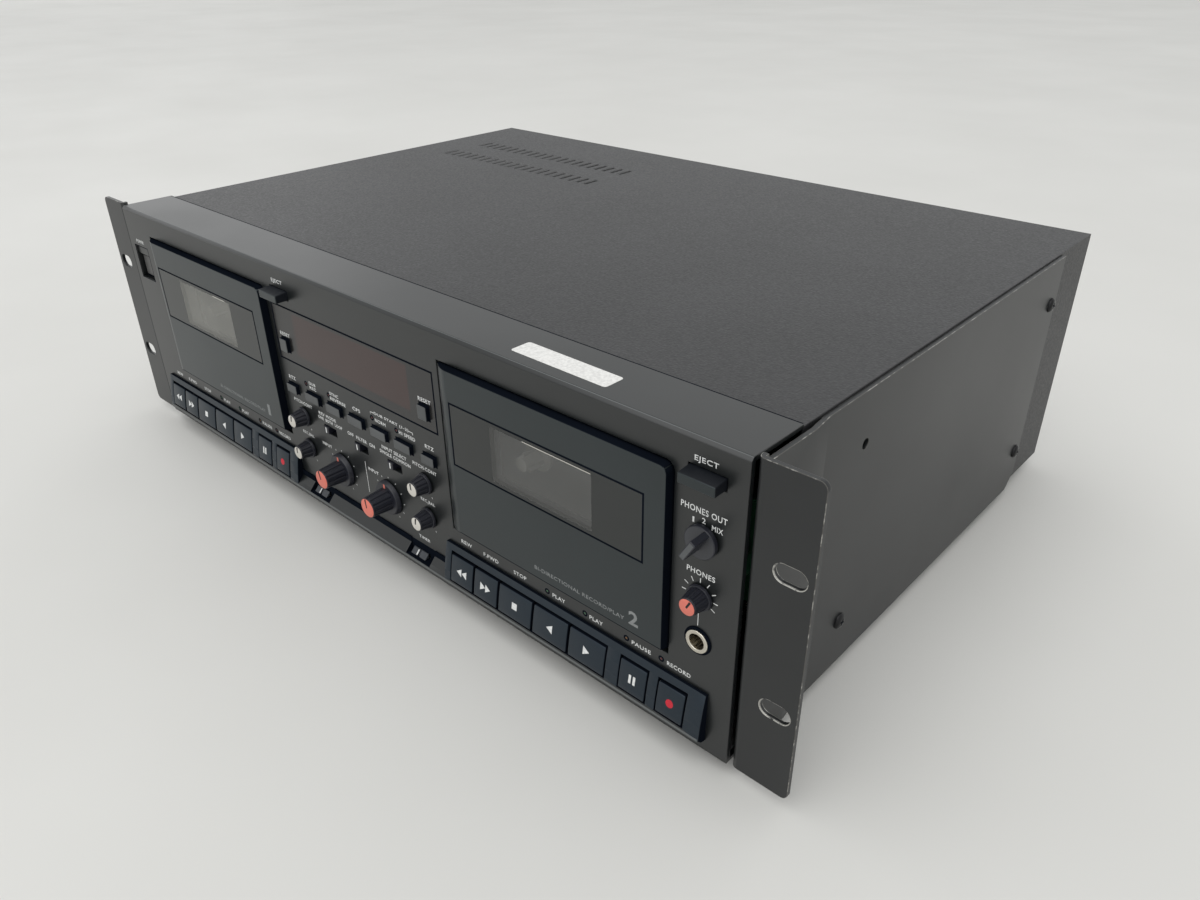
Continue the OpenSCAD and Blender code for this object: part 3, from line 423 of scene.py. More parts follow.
# %% Copies with rounded edges
WELD = 0.000002
LEVEL = math.radians(0.2)
PANEL_LEVELS = (120, 106, 100, 93.9, 76, 71.7, 68.4, 60, 53, 50.8, 42.4, 35, 33.5, 21, 14.8, 11.05)
HOLE_LINES = {
    "front_panel": [("z", z) for z in PANEL_LEVELS],
    "top_cover": [("y", 217), ("y", 249), ("z", 24), ("z", 106)],
    "rack_bracket": [("z", 24), ("z", 37.4), ("z", 94.6), ("z", 106)],
    "cassette_door": [("z", 89.4), ("z", 39.3)],
    "display_window": [("z", 91)],
    "rear_sockets": [("z", 34), ("z", 48), ("z", 74)],
    "base_chassis": [("z", 7), ("z", 48), ("z", 74)],
    "phones_jack": [("z", 50.9)],
}
CORNER = math.radians(35)
BODY_OF = {node: body for body, nodes in frame["record"]["behaviour"]["bodies"].items() for node in nodes}


def copy_of(node):
    """The node's solid as a welded shape with whole flat faces, parted along lines through its holes."""
    shape = bmesh.new()
    shape.from_mesh(frame["nodes"][node].data)
    bmesh.ops.remove_doubles(shape, verts=shape.verts, dist=WELD)
    for axis, value in HOLE_LINES.get(node.replace("_left", "").replace("_right", ""), []):
        normal = (0, 1, 0) if axis == "y" else (0, 0, 1)
        everything = shape.verts[:] + shape.edges[:] + shape.faces[:]
        place = at(0, value, value)
        cut = bmesh.ops.bisect_plane(shape, geom=everything, plane_co=place, plane_no=normal)
        for item in cut["geom_cut"]:
            if isinstance(item, bmesh.types.BMEdge):
                item.seam = True
    bmesh.ops.dissolve_limit(
        shape, angle_limit=LEVEL, verts=shape.verts, edges=shape.edges, delimit={"SEAM"}
    )
    return shape


def outer_edges(shape, test=None):
    """Convex edges sharp enough to be rounded, and that pass a test of their middle."""
    sharp = []
    for edge in shape.edges:
        if len(edge.link_faces) == 2 and edge.is_convex and edge.calc_face_angle() > CORNER:
            middle = (edge.verts[0].co + edge.verts[1].co) / 2
            if test is None or test(middle):
                sharp.append(edge)
    return sharp


def soften(shape, width, edges=None, segments=2):
    """Rounds edges by a width in millimetres and gives the new faces."""
    chosen = outer_edges(shape) if edges is None else edges
    made = bmesh.ops.bevel(
        shape, geom=chosen, offset=width * MM, offset_type="OFFSET", segments=segments, profile=0.5,
        affect="EDGES", material=-1, clamp_overlap=False, loop_slide=True,
    )
    return made["faces"]


# %% [markdown]
# Every finished piece goes through one helper, so none is forgotten: it takes its finishes, rides on
# the body that carries it and hides the solid it stands for. Soft shading is only for curves: on a wide
# flat face it would drag the tone of a rounded edge far inwards.

# %% Finished pieces
FLAT = math.radians(0.5)
CREASE = math.radians(32)
SMALL_SHARE = 0.2
FLANK_NORMAL = -0.5
SIDES = (("left", -1), ("right", 1))


def shade(shape):
    """Whether each face is shaded softly: curves and rounded edges are, wide flat faces aren't."""
    areas = {face: face.calc_area() for face in shape.faces}
    soft = set()
    for edge in shape.edges:
        if len(edge.link_faces) == 2 and FLAT < edge.calc_face_angle(0.0) < CREASE:
            first, second = edge.link_faces
            if areas[second] > SMALL_SHARE * areas[first]:
                soft.add(first)
            if areas[first] > SMALL_SHARE * areas[second]:
                soft.add(second)
    return [face in soft for face in shape.faces]


def make_piece(name, shape, finishes, body, node=None):
    """Turns a shape into a piece of the deck."""
    soft = shade(shape)
    mesh = bpy.data.meshes.new(name)
    shape.to_mesh(mesh)
    shape.free()
    old_normals = mesh.attributes.get("custom_normal")
    if old_normals is not None:
        mesh.attributes.remove(old_normals)
    for finish in finishes:
        mesh.materials.append(finish)
    mesh.set_sharp_from_angle(angle=CREASE)
    mesh.polygons.foreach_set("use_smooth", soft)
    piece = bpy.data.objects.new(name, mesh)
    scene.collection.objects.link(piece)
    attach(piece, body)
    if node is not None:
        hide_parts(node)
    return piece


def dress(node, shape, finishes):
    """Turns a shaped copy of a node into the piece that stands for it."""
    return make_piece(node + "_finished", shape, finishes, BODY_OF[node], node)


def rounded(node, width, finish, segments=2, flanks=None):
    """A node's own solid with rounded edges and a finish, and painted shade on its flanks if given."""
    shape = copy_of(node)
    soften(shape, width, segments=segments)
    finishes = [finish]
    if flanks is not None:
        finishes.append(flanks)
        for face in shape.faces:
            face.material_index = int(face.normal.y > FLANK_NORMAL)
    return dress(node, shape, finishes)


# %% [markdown]
# The front panel is one big moulding with a bulging ledge for the keys. It keeps its construction
# shape, so a rounded copy is enough, and each face takes its finish by where it lies and looks. The
# ledge has the bluish finish of its keys. The walls of its openings, the top of its middle stretch and
# its underside are painted black as shade, and a lighter strip on the panel's upper edge is a painted
# highlight.

# %% Front panel
FACE = -1.0
LEDGE_LOW = 5.4
LEDGE_TOP = 29.4
LEDGE_END = 207.0
SHELF_END = 61.0
SHELF_TOP = 13.9
CHIN_Z = 9.0
PANEL_TOP = 131.0
MOULD_ROUND = 0.3
PROUD = 0.05
EDGE_BAND = 0.5
DOWNWARD = -0.2
INWARD = -0.35
HIGHLIGHT_TILT = 0.3
PANEL_INDEX, LEDGE_INDEX, SHADE_INDEX, HIGHLIGHT_INDEX = range(4)


def middle_of(face):
    """A face's middle in millimetres from the ears' face and lower edge."""
    return (face.calc_center_median() - at(0, 0, 0)) / MM


panel = copy_of("front_panel")
soften(panel, MOULD_ROUND)
for face in panel.faces:
    middle = middle_of(face)
    level = LEDGE_LOW < middle.z < LEDGE_TOP
    on_ledge = middle.y < FACE - PROUD and level and abs(middle.x) < LEDGE_END
    on_shelf = abs(middle.x) < SHELF_END
    # Walls and upper faces in the ledge, and the chin, get painted shade; the upper edge a painted
    # highlight.
    if on_ledge and face.normal.z > DOWNWARD:
        if face.normal.y > INWARD or (on_shelf and middle.z > SHELF_TOP):
            face.material_index = SHADE_INDEX
        else:
            face.material_index = PANEL_INDEX if on_shelf else LEDGE_INDEX
    elif middle.z < CHIN_Z and face.normal.z < DOWNWARD and face.normal.y < DOWNWARD:
        face.material_index = SHADE_INDEX
    elif middle.z > PANEL_TOP - EDGE_BAND and face.normal.y < -HIGHLIGHT_TILT and face.normal.z > HIGHLIGHT_TILT:
        face.material_index = HIGHLIGHT_INDEX
dress("front_panel", panel, [panel_satin, key_satin, black_and_shade, highlight_grey])

# %% [markdown]
# The cover and the floor pan are sheet metal, and the sockets are turned parts. The radius tells steel
# from plastic: wide on the mould, tight on the sheet. The vents are punched after painting, so their
# walls are bare steel, with a grey lightened as a painted highlight, and the mains inlet on the rear wall
# is black.

# %% Case
COVER_ROUND = 0.25
SHEET_ROUND = 0.2
FEET_ROUND = 0.6
VENTS_START = 205.0
VENTS_END = 262.0
COVER_SIDE = 210.0
cover = copy_of("top_cover")
soften(cover, COVER_ROUND)
# The upright walls of the vents get the lighter grey: bare steel with a painted highlight.
for face in cover.faces:
    middle = middle_of(face)
    in_vents = VENTS_START < middle.y < VENTS_END and abs(middle.x) < COVER_SIDE
    upright = abs(face.normal.z) < 0.5
    face.material_index = int(in_vents and upright)
dress("top_cover", cover, [cover_grain, bare_steel_highlight])
rounded("base_chassis", SHEET_ROUND, zinc_steel)
rounded("feet", FEET_ROUND, foot_rubber, 3)
sockets = copy_of("rear_sockets")
soften(sockets, SHEET_ROUND)
for face in sockets.faces:
    face.material_index = int(face.calc_center_median().x > 0)
dress("rear_sockets", sockets, [socket_brass, screw_black])

# %% [markdown]
# The rack brackets are folded from two-millimetre steel. Years of rack screws have bared the rims of
# the right slots. The edges of the fold get a lighter paint, a painted highlight, that is bared to steel
# in spots. Rims and edges are rounded in their own passes, so the new faces can take these finishes.

# %% Rack brackets
EAR_HEIGHT = 132.0
PLATE_OUT = 217.85
SLOT_X = 232.55
SLOT_RISE = 57.15
SLOT_REACH_X = 7.0
SLOT_REACH_Z = 4.2
RIM_ROUND = 0.45
FOLD_ROUND = 0.22


def on_slot_rim(middle):
    """Edges close to one of the two slots of an ear."""
    for side in (-1, 1):
        hole = at(0, 0, EAR_HEIGHT / 2 + side * SLOT_RISE / 2)
        near_z = abs(middle.z - hole.z) < SLOT_REACH_Z * MM
        if near_z and abs(abs(middle.x) - SLOT_X * MM) < SLOT_REACH_X * MM:
            return True
    return False


for side in ("left", "right"):
    node = "rack_bracket_" + side
    shape = copy_of(node)
    rim = bare_rim if side == "right" else bracket_paint
    for face in soften(shape, RIM_ROUND, outer_edges(shape, on_slot_rim)):
        face.material_index = 2
    rest = outer_edges(shape, lambda middle: not on_slot_rim(middle))
    # Fold edges: a lighter paint as a painted highlight, bared to steel in spots.
    for face in soften(shape, FOLD_ROUND, rest):
        face.material_index = 1
    dress(node, shape, [bracket_paint, worn_and_highlit_edge, rim])
print("two brackets with worn edges")

# %% [markdown]
# A turned piece, such as a screw head, a lamp or a knob's cap, is a profile spun round an axis. The
# profile is a short list of radius and height, drawn flat with its outer side up, and then seated on
# the deck. A printed mark or a thin joint is a flat outline that gets a thickness and is seated in
# the same way.

# %% Turned and flat pieces
PROFILE_WELD = 0.0005
LINE_LOW = -0.1
LINE_HIGH = 0.02


def faces_at(verts):
    """The faces that meet at some vertices, each of them once."""
    return list(dict.fromkeys(face for vert in verts for face in vert.link_faces))


def turned(shape, profile, place, steps=36):
    """Spins a profile of radius and height in millimetres, and seats it."""
    before = set(shape.verts)
    rim = [shape.verts.new((radius, 0.0, height)) for radius, height in profile]
    path = [shape.edges.new(pair) for pair in zip(rim, rim[1:])]
    bmesh.ops.spin(
        shape, geom=rim + path, cent=(0, 0, 0), axis=(0, 0, 1), dvec=(0, 0, 0),
        angle=math.tau, steps=steps, use_merge=True, use_duplicate=False,
    )
    fresh = [vert for vert in shape.verts if vert not in before]
    bmesh.ops.remove_doubles(shape, verts=fresh, dist=PROFILE_WELD)
    fresh = [vert for vert in shape.verts if vert not in before]
    bmesh.ops.recalc_face_normals(shape, faces=faces_at(fresh))
    bmesh.ops.transform(shape, matrix=place, verts=fresh)


def slab(shape, corners, place, low=LINE_LOW, high=LINE_HIGH):
    """A flat outline in millimetres with a thickness from low to high, seated on a face."""
    outline = [shape.verts.new((u, v, low)) for u, v in corners]
    base = shape.faces.new(outline)
    raised = bmesh.ops.extrude_face_region(shape, geom=[base])["geom"]
    lifted = [item for item in raised if isinstance(item, bmesh.types.BMVert)]
    bmesh.ops.translate(shape, verts=lifted, vec=(0, 0, high - low))
    whole = outline + lifted
    bmesh.ops.recalc_face_normals(shape, faces=faces_at(whole))
    bmesh.ops.transform(shape, matrix=place, verts=whole)


def bar(width, height, x=0.0, y=0.0):
    """Corners of an upright rectangle."""
    return [
        (x - width / 2, y - height / 2), (x + width / 2, y - height / 2),
        (x + width / 2, y + height / 2), (x - width / 2, y + height / 2),
    ]


# %% [markdown]
# Six pan-head screws hold the brackets. A head is a low dome with a cross recess, so the dome is spun
# and the cross is two thin black bars that lie in it, painted shade for the recess. One empty hole on
# each side stays empty.

# %% Screws of the side plates
SCREWS = [(71.5, 24.0), (255.0, 24.0), (255.0, 106.0)]
SCREW_TURN = 20
HEAD_STEPS = 28
HEAD_PROFILE = [
    (0, 1.75), (1.6, 1.75), (2.7, 1.45), (3.3, 0.9), (3.55, 0.35), (3.55, 0),
    (2.0, 0), (2.0, -8), (0, -8),
]
CROSS_LONG = 2.9
CROSS_WIDE = 0.62
CROSS_LOW = 1.2
CROSS_HIGH = 1.79
HAIR = 0.005
heads = bmesh.new()
cross_shade = bmesh.new()
for facing, sign in ((RIGHT, 1), (LEFT, -1)):
    for y, z in SCREWS:
        place = seat(sign * PLATE_OUT, y, z, facing, SCREW_TURN)
        turned(heads, HEAD_PROFILE, place, HEAD_STEPS)
        # Two black bars are the painted shade of the cross recess.
        slab(cross_shade, bar(CROSS_LONG, CROSS_WIDE), place, CROSS_LOW, CROSS_HIGH)
        slab(cross_shade, bar(CROSS_WIDE, CROSS_LONG), place, CROSS_LOW, CROSS_HIGH - HAIR)
make_piece("side_screws", heads, [screw_black], "deck", "screws")
make_piece("screw_cross_shade", cross_shade, [black_and_shade], "deck")
print("six screws")

# %% [markdown]
# Each cassette door is a thick moulded plate. Its left flank rolls softly into the face, and its foot
# is bevelled so that it can tip forward. The long edges of flank and foot get a wide, many-stepped
# bevel, and all the others the small radius of the mould. The walls that face into the gap and the
# underside of the foot are painted black, as painted shade.

# %% Cassette doors
DOOR_X = 126.4
DOOR_HALF = 60.1
DOOR_FACE = -4.5
FLANK = 5.4
FOOT_TOP = 40.2
FLANK_ROUND = 3.2
FOOT_ROUND = 0.7
GAP_NORMAL = 0.75
FOOT_NORMAL = -0.15


def near(value, target):
    """Whether a length is within a twentieth of a millimetre of another."""
    return abs(value - target) < 0.05 * MM


def front_edges(shape, x=None, z=None):
    """Edges that lie in the door's face on an upright line x or a level line z."""
    line = []
    for edge in shape.edges:
        ends = [vert.co for vert in edge.verts]
        on_face = all(near(end.y, at(0, DOOR_FACE, 0).y) for end in ends)
        on_x = x is None or all(near(end.x, x * MM) for end in ends)
        on_z = z is None or all(near(end.z, at(0, 0, z).z) for end in ends)
        if on_face and on_x and on_z:
            line.append(edge)
    return line


for side, sign in SIDES:
    node = "cassette_door_" + side
    shape = copy_of(node)
    soften(shape, FLANK_ROUND, front_edges(shape, x=sign * DOOR_X - DOOR_HALF + FLANK), segments=8)
    soften(shape, FOOT_ROUND, front_edges(shape, z=FOOT_TOP), segments=4)
    soften(shape, MOULD_ROUND)
    # Walls facing into the gap and the foot's underside get painted shade.
    for face in shape.faces:
        in_gap = face.normal.x > GAP_NORMAL or face.normal.z > GAP_NORMAL
        face.material_index = int(in_gap or face.normal.z < FOOT_NORMAL)
    dress(node, shape, [door_satin, black_and_shade])
print("two doors")

# %% [markdown]
# A window is one flush sheet: dark where it is printed at the back, clear in the middle. Cutting the
# sheet's faces along the four lines of the print gives the middle its own finish without a second
# sheet. A thin dark frame stands for the open joint round the sheet, and a thin light strip along the
# upper edge of the clear part is a painted glint.

# %% Door windows
LENS_Z = 89.4
LENS_W = 101.0
LENS_H = 28.0
LENS_ROUND = 0.12
CLEAR_HALF_W = 26.75
CLEAR_HALF_H = 12.3
LENS_GROW = 1.3
LENS_JOINT = 0.85
GLINT_H = 0.3
GLINT_HIGH = 0.03
GLINTS = {"left": (16.0, 12.0), "right": (9.0, 35.0)}


def cut_out(shape, x, z, half_w, half_h, index):
    """Cuts faces along a rectangle and gives those inside it another finish."""
    lines = [((x - half_w, z), (1, 0, 0)), ((x + half_w, z), (1, 0, 0)),
             ((x, z - half_h), (0, 0, 1)), ((x, z + half_h), (0, 0, 1))]
    for (u, v), normal in lines:
        everything = shape.verts[:] + shape.edges[:] + shape.faces[:]
        bmesh.ops.bisect_plane(shape, geom=everything, plane_co=at(u, 0, v), plane_no=normal)
    centre = at(x, 0, z)
    for face in shape.faces:
        middle = face.calc_center_median()
        flat = abs(face.normal.y) > 0.9
        inside = abs(middle.x - centre.x) < half_w * MM and abs(middle.z - centre.z) < half_h * MM
        if flat and inside:
            face.material_index = index


def flat_frame(shape, width, height, rim, place):
    """A thin frame with a rim of even width."""
    for u in (-1, 1):
        slab(shape, bar(rim, height, u * (width - rim) / 2), place)
        slab(shape, bar(width - 2 * rim, rim, 0, u * (height - rim) / 2), place)


for side, sign in SIDES:
    node = "door_window_" + side
    body = BODY_OF[node]
    shape = copy_of(node)
    soften(shape, LENS_ROUND, segments=1)
    cut_out(shape, sign * DOOR_X, LENS_Z, CLEAR_HALF_W, CLEAR_HALF_H, 1)
    # The clear middle's grey is painted reflection, lighter on the left door.
    dress(node, shape, [lens_dark, left_clear_reflection if side == "left" else right_clear_reflection])
    joint = bmesh.new()
    place = seat(sign * DOOR_X, DOOR_FACE, LENS_Z)
    flat_frame(joint, LENS_W + LENS_GROW, LENS_H + LENS_GROW, LENS_JOINT, place)
    make_piece(node + "_joint", joint, [black_and_shade], body)
    # A thin light strip on the clear part's upper edge is a painted glint.
    glint = bmesh.new()
    start, length = GLINTS[side]
    place = seat(sign * DOOR_X + start, DOOR_FACE, LENS_Z + CLEAR_HALF_H)
    slab(glint, bar(length, GLINT_H), place, high=GLINT_HIGH)
    make_piece(node + "_edge", glint, [cap_white], body)
print("two windows with their joints")

# %% [markdown]
# Fourteen transport keys follow the curve of the ledge, and their flanks are painted black as shade.
# The symbols are printed, so each is a thin slab of ink a few hundredths of a millimetre proud of the
# key, tilted with the key's face where it lies. They are pieces of their own, because they ride down
# with their key. A thin rib along the ledge's lower edge is light grey, as a painted highlight.

# %% Transport keys and their symbols
LEDGE_R = 134.99
KEY_R = LEDGE_R + 0.2
KEY_CENTRE_Y = -6.6 + LEDGE_R
KEY_CREST = -5.0
KEY_ROUND = 0.45
SYMBOL_Z = 17.6
INK_SUNK = 0.08
INK_T = 0.035
RIB_W = 411.6
RIB_H = 1.2
RIB_Z = 9.0
RIB_OUT = 4.85
KEYS = [("rewind", 15.7, 4.1), ("fast_forward", 16.0, 0), ("stop", 21.2, 0), ("reverse_play", 20.8, 0),
        ("play", 20.5, 0), ("pause", 14.3, 6.7), ("record", 13.7, 4.4)]
LEDGE_START = {"left": -206.0, "right": 61.2}


def key_face(z):
    """How far forward a key's face lies at a height."""
    return KEY_CENTRE_Y - math.sqrt(KEY_R ** 2 - (z - KEY_CREST) ** 2)


def arrow(tip_x, width, height):
    """A triangle whose tip points along the sign of its width."""
    return [(tip_x - width, height / 2), (tip_x - width, -height / 2), (tip_x, 0)]


def disc(radius, count=28):
    """Corners of a round spot."""
    angles = [i * math.tau / count for i in range(count)]
    return [(radius * math.cos(angle), radius * math.sin(angle)) for angle in angles]


SYMBOLS = {
    "rewind": [arrow(-3.2, -3.1, 3.9), arrow(0.1, -3.1, 3.9)],
    "fast_forward": [arrow(3.2, 3.1, 3.9), arrow(-0.1, 3.1, 3.9)],
    "stop": [bar(3.0, 3.2)],
    "reverse_play": [arrow(-1.8, -3.4, 4.0)],
    "play": [arrow(1.8, 3.4, 4.0)],
    "pause": [bar(1.15, 3.8, -1.05), bar(1.15, 3.8, 1.05)],
    "record": [disc(1.75)],
}
slope = math.asin((SYMBOL_Z - KEY_CREST) / KEY_R)
TILTED = Matrix.Rotation(-slope, 4, "X") @ FRONT
for side in ("left", "right"):
    x = LEDGE_START[side]
    for name, width, space in KEYS:
        x += space
        node = "%s_%s_key" % (side, name)
        # The key's flanks get painted shade.
        rounded(node, KEY_ROUND, key_satin, 3, black_and_shade)
        symbol = bmesh.new()
        place = seat(x + width / 2, key_face(SYMBOL_Z), SYMBOL_Z, TILTED)
        for corners in SYMBOLS[name]:
            slab(symbol, corners, place, -INK_SUNK, INK_T)
        symbol_ink = red_ink if name == "record" else white_ink
        make_piece("%s_%s_symbol" % (side, name), symbol, [symbol_ink], BODY_OF[node])
        x += width
# The rib's light grey is a painted highlight.
rib = bmesh.new()
slab(rib, bar(RIB_W, RIB_H), seat(0, FACE - RIB_OUT, RIB_Z), -0.5, 0.1)
soften(rib, 0.15)
make_piece("ledge_highlight_rib", rib, [highlight_grey], "deck")
print("fourteen keys and the ledge's rib")

# %% [markdown]
# The counters sit behind a smoked window that is flush with the panel. Its middle looks brown,
# because a red filter lies behind it. The same cut as on the door windows parts the two shades, and a
# dark frame draws the joint.

# %% Display window
DISPLAY_W = 122.4
DISPLAY_H = 28.2
DISPLAY_Z = 97.0
DISPLAY_GROW = 1.4
DISPLAY_JOINT = 0.9
FILTER_Z = 98.75
FILTER_HALF_W = 44.0
FILTER_HALF_H = 10.75
window = copy_of("display_window")
soften(window, LENS_ROUND, segments=1)
cut_out(window, 0.0, FILTER_Z, FILTER_HALF_W, FILTER_HALF_H, 1)
dress("display_window", window, [smoked_rim, filter_brown])
joint = bmesh.new()
place = seat(0, FACE, DISPLAY_Z)
frame_w = DISPLAY_W + DISPLAY_GROW
frame_h = DISPLAY_H + DISPLAY_GROW
flat_frame(joint, frame_w, frame_h, DISPLAY_JOINT, place)
make_piece("display_joint", joint, [black_and_shade], "deck")
print("display window")

# %% [markdown]
# The push buttons are simple mouldings, so rounded copies do for them. The radius is large for their
# size, as on real buttons, so each catches a soft light along its upper edge. Their flanks are painted
# black as shade, and a thin black frame round each button is painted shade in the gap that lets it
# move. The pockets of the timer slides and the recess of the power button get such painted shade too.

# %% Push buttons and gaps
BUTTONS = [
    "counter_reset_left", "counter_reset_right", "return_zero_left", "dub_record_button",
    "sync_reverse_button", "search_button", "dub_normal_button", "dub_fast_button", "return_zero_right",
]
BUTTON_ROUND = 0.4
FLANGE = 1.2
GAP = 0.65
GAP_RIM = 0.55
POWER_X = -202.75
POWER_Z = 100.0
POWER_STEP = 2.5
POWER_SINK = 3.0
TIMER_X = 41.0
TIMER_SHADE_Z = 14.6
TIMER_ENDS = 6.6
TIMER_END_Z = 11.05
gaps = bmesh.new()
for node in BUTTONS:
    # Flanks and a black frame round each button are painted shade.
    rounded(node, BUTTON_ROUND, button_satin, 3, black_and_shade)
    low, high = [Vector(corner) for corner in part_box(node)]
    middle = (low + high) / (2 * MM)
    width = (high.x - low.x) / MM - 2 * FLANGE + 2 * GAP
    height = (high.z - low.z) / MM - 2 * FLANGE + 2 * GAP
    place = seat(middle.x, FACE, middle.z - EAR_LOW.z / MM)
    flat_frame(gaps, width, height, GAP_RIM, place)
# Dark slabs paint the shade in the timer pockets, and frames paint the shade in the power recess.
for sign in (-1, 1):
    slab(gaps, bar(17.3, 4.2), seat(sign * TIMER_X, FACE, TIMER_SHADE_Z))
    for end in (-1, 1):
        place = seat(sign * TIMER_X + end * TIMER_ENDS, FACE, TIMER_END_Z)
        slab(gaps, bar(4.0, 2.8), place)
flat_frame(gaps, 16.3, 19.8, 0.4, seat(POWER_X, FACE, POWER_Z))
power_bed = seat(POWER_X, FACE + POWER_SINK, POWER_Z - POWER_STEP)
flat_frame(gaps, 15.5, 14.0, 1.0, power_bed)
make_piece("button_gap_shade", gaps, [black_and_shade], "deck")
print("push buttons:", len(BUTTONS))

# %% [markdown]
# Eject bars, slides and the power button are mouldings of the same kind. Each slide carries a white
# mark, a thin slab of ink that rides with it. The timer slides lean back with the ledge, so their marks
# are seated on the same slope.

# %% Bars, slides and power button
SLIDES = {"reverse_mode_slide": -26.0, "noise_filter_slide": 0.0, "input_select_slide": 26.0}
SLIDE_Z = 52.8
SLIDE_OUT = 1.0
SLIDE_MARK = (-2.5, 3.0)
TIMER_FACE = -2.6
TIMER_Z = 11.15
TIMER_MARK = (-3.0, 2.7)
MARK_W = 0.8
MARK_HIGH = 0.03
LEANING = Matrix.Rotation(math.radians(-42.7), 4, "X") @ FRONT
for side in ("left", "right"):
    # Eject bars and the power button get painted shade on their flanks.
    rounded("eject_bar_" + side, BUTTON_ROUND, door_satin, 3, flank_shade_black)
    rounded("timer_slide_" + side, SHEET_ROUND, slide_satin)
rounded("power_button", BUTTON_ROUND, power_grey, 3, black_and_shade)
for node, x in SLIDES.items():
    rounded(node, MOULD_ROUND, knob_satin)
    mark = bmesh.new()
    offset, height = SLIDE_MARK
    slab(mark, bar(MARK_W, height), seat(x + offset, FACE - SLIDE_OUT, SLIDE_Z), -INK_SUNK, MARK_HIGH)
    make_piece(node + "_mark", mark, [white_ink], BODY_OF[node])
for side, sign in SIDES:
    mark = bmesh.new()
    offset, height = TIMER_MARK
    place = seat(sign * TIMER_X + offset, TIMER_FACE, TIMER_Z, LEANING)
    slab(mark, bar(MARK_W, height), place, -INK_SUNK, MARK_HIGH)
    make_piece("timer_mark_" + side, mark, [white_ink], "timer_" + side)
print("bars, slides and power button:", len(SLIDES) + 5)

# %% [markdown]
# The knobs are ribbed, with a coloured cap pressed into the end and a black line across half of it.
# The ribbed body is the solid with rounded rims and its end set back by half a millimetre, and the
# ribs stay crisp. The cap is spun with a slightly crowned face, and the line is a slab that stands a
# hair above it.

# %% Knobs and caps
CAP_SINK = 0.5
SMALL_R = 3.2
SMALL_X = 48.5
PITCH_Z = 53.2
BALANCE_Z = 35.0
INPUT_R = 4.7
INPUT_X = 19.0
INPUT_Z = 33.5
PHONES_X = 200.3
PHONES_Z = 70.4
KNOBS = [
    ("pitch_knob_left", -SMALL_X, PITCH_Z, SMALL_R, cap_white, 10),
    ("pitch_knob_right", SMALL_X, PITCH_Z, SMALL_R, cap_white, -6),
    ("balance_knob_left", -SMALL_X, BALANCE_Z, SMALL_R, cap_white, 4),
    ("balance_knob_right", SMALL_X, BALANCE_Z, SMALL_R, cap_white, 8),
    ("input_knob_left", -INPUT_X, INPUT_Z, INPUT_R, cap_orange, -14),
    ("input_knob_right", INPUT_X, INPUT_Z, INPUT_R, cap_orange, -8),
    ("phones_knob", PHONES_X, PHONES_Z, SMALL_R, cap_orange, 27),
]
RIM_ALONG = 0.3
SKIRT_MARK_R = 7.0
SKIRT_OUT = 2.9


def rim_edges(shape):
    """Outer edges that run round a knob, not along its ribs."""
    rims = []
    for edge in outer_edges(shape):
        along = edge.verts[1].co - edge.verts[0].co
        if abs(along.y) < RIM_ALONG * along.length:
            rims.append(edge)
    return rims


for node, x, z, radius, cap_finish, line_turn in KNOBS:
    body = BODY_OF[node]
    shape = copy_of(node)
    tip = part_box(node)[0][1]
    for vert in shape.verts:
        if near(vert.co.y, tip):
            vert.co.y += CAP_SINK * MM
    soften(shape, SHEET_ROUND, rim_edges(shape))
    dress(node, shape, [knob_satin])
    place = Matrix.Translation((0, tip - EAR_LOW.y, 0)) @ seat(x, 0, z, FRONT, line_turn)
    cap = bmesh.new()
    crown = [(0, -0.05), (radius * 0.6, -0.09), (radius - 0.3, -0.2)]
    skirt = [(radius, -0.4), (radius, -0.8), (0, -0.8)]
    turned(cap, crown + skirt, place)
    make_piece(node + "_cap", cap, [cap_finish], body)
    line = bmesh.new()
    slab(line, bar(MARK_W, radius * 0.95, 0, radius * 0.5), place, -0.3, -0.03)
    make_piece(node + "_line", line, [black_ink], body)
    if radius == INPUT_R:
        mark = bmesh.new()
        slab(mark, bar(1.2, 2.1, 0, SKIRT_MARK_R), seat(x, FACE - SKIRT_OUT, z), -0.3, 0.04)
        make_piece(node + "_skirt_mark", mark, [cap_orange], body)
print("ribbed knobs:", len(KNOBS))

# %% [markdown]
# The headphone selector is a pointer knob, its grip scooped out beside the pointer. The flat faces that
# look forward are painted lighter, as painted light: less so deep in the scoop, more on the grip.

# %% Pointer selector
SCOOP_OUT = 8.0
FORWARD = -0.99
selector = copy_of("phones_selector")
soften(selector, BUTTON_ROUND, segments=3)
# Forward faces get painted light, less in the scoop and more on the grip.
for face in selector.faces:
    if face.normal.y < FORWARD:
        face.material_index = 1 if middle_of(face).y > FACE - SCOOP_OUT else 2
dress("phones_selector", selector, [knob_satin, scoop_painted_light, bar_satin])
print("selector")

# %% [markdown]
# The headphone socket shows a bright plated nut in a black ring, which is painted shade round the nut.
# The nut is the rounded solid, and the ring is spun with a soft lip. The bore stays open for a plug.

# %% Headphone socket
JACK_Z = 50.9
SHADE_RING = [(4.85, 0.0), (4.85, 0.55), (5.05, 0.75), (5.5, 0.7), (5.75, 0.4), (5.8, 0.0), (4.85, 0.0)]
rounded("phones_jack", 0.35, jack_chrome, 3)
# A black ring round the nut is painted shade.
shade_ring = bmesh.new()
turned(shade_ring, SHADE_RING, seat(PHONES_X, FACE, JACK_Z))
make_piece("jack_shade_ring", shade_ring, [black_and_shade], "deck")
print("socket")

# %% [markdown]
# Function words are printed on the panel in white. Each word starts as a text curve, becomes a mesh
# while it is still flat, and is stretched to the width and height measured on the front. All words
# together are one thin piece of ink. Only plain words and numbers are used.

# %% Printed words


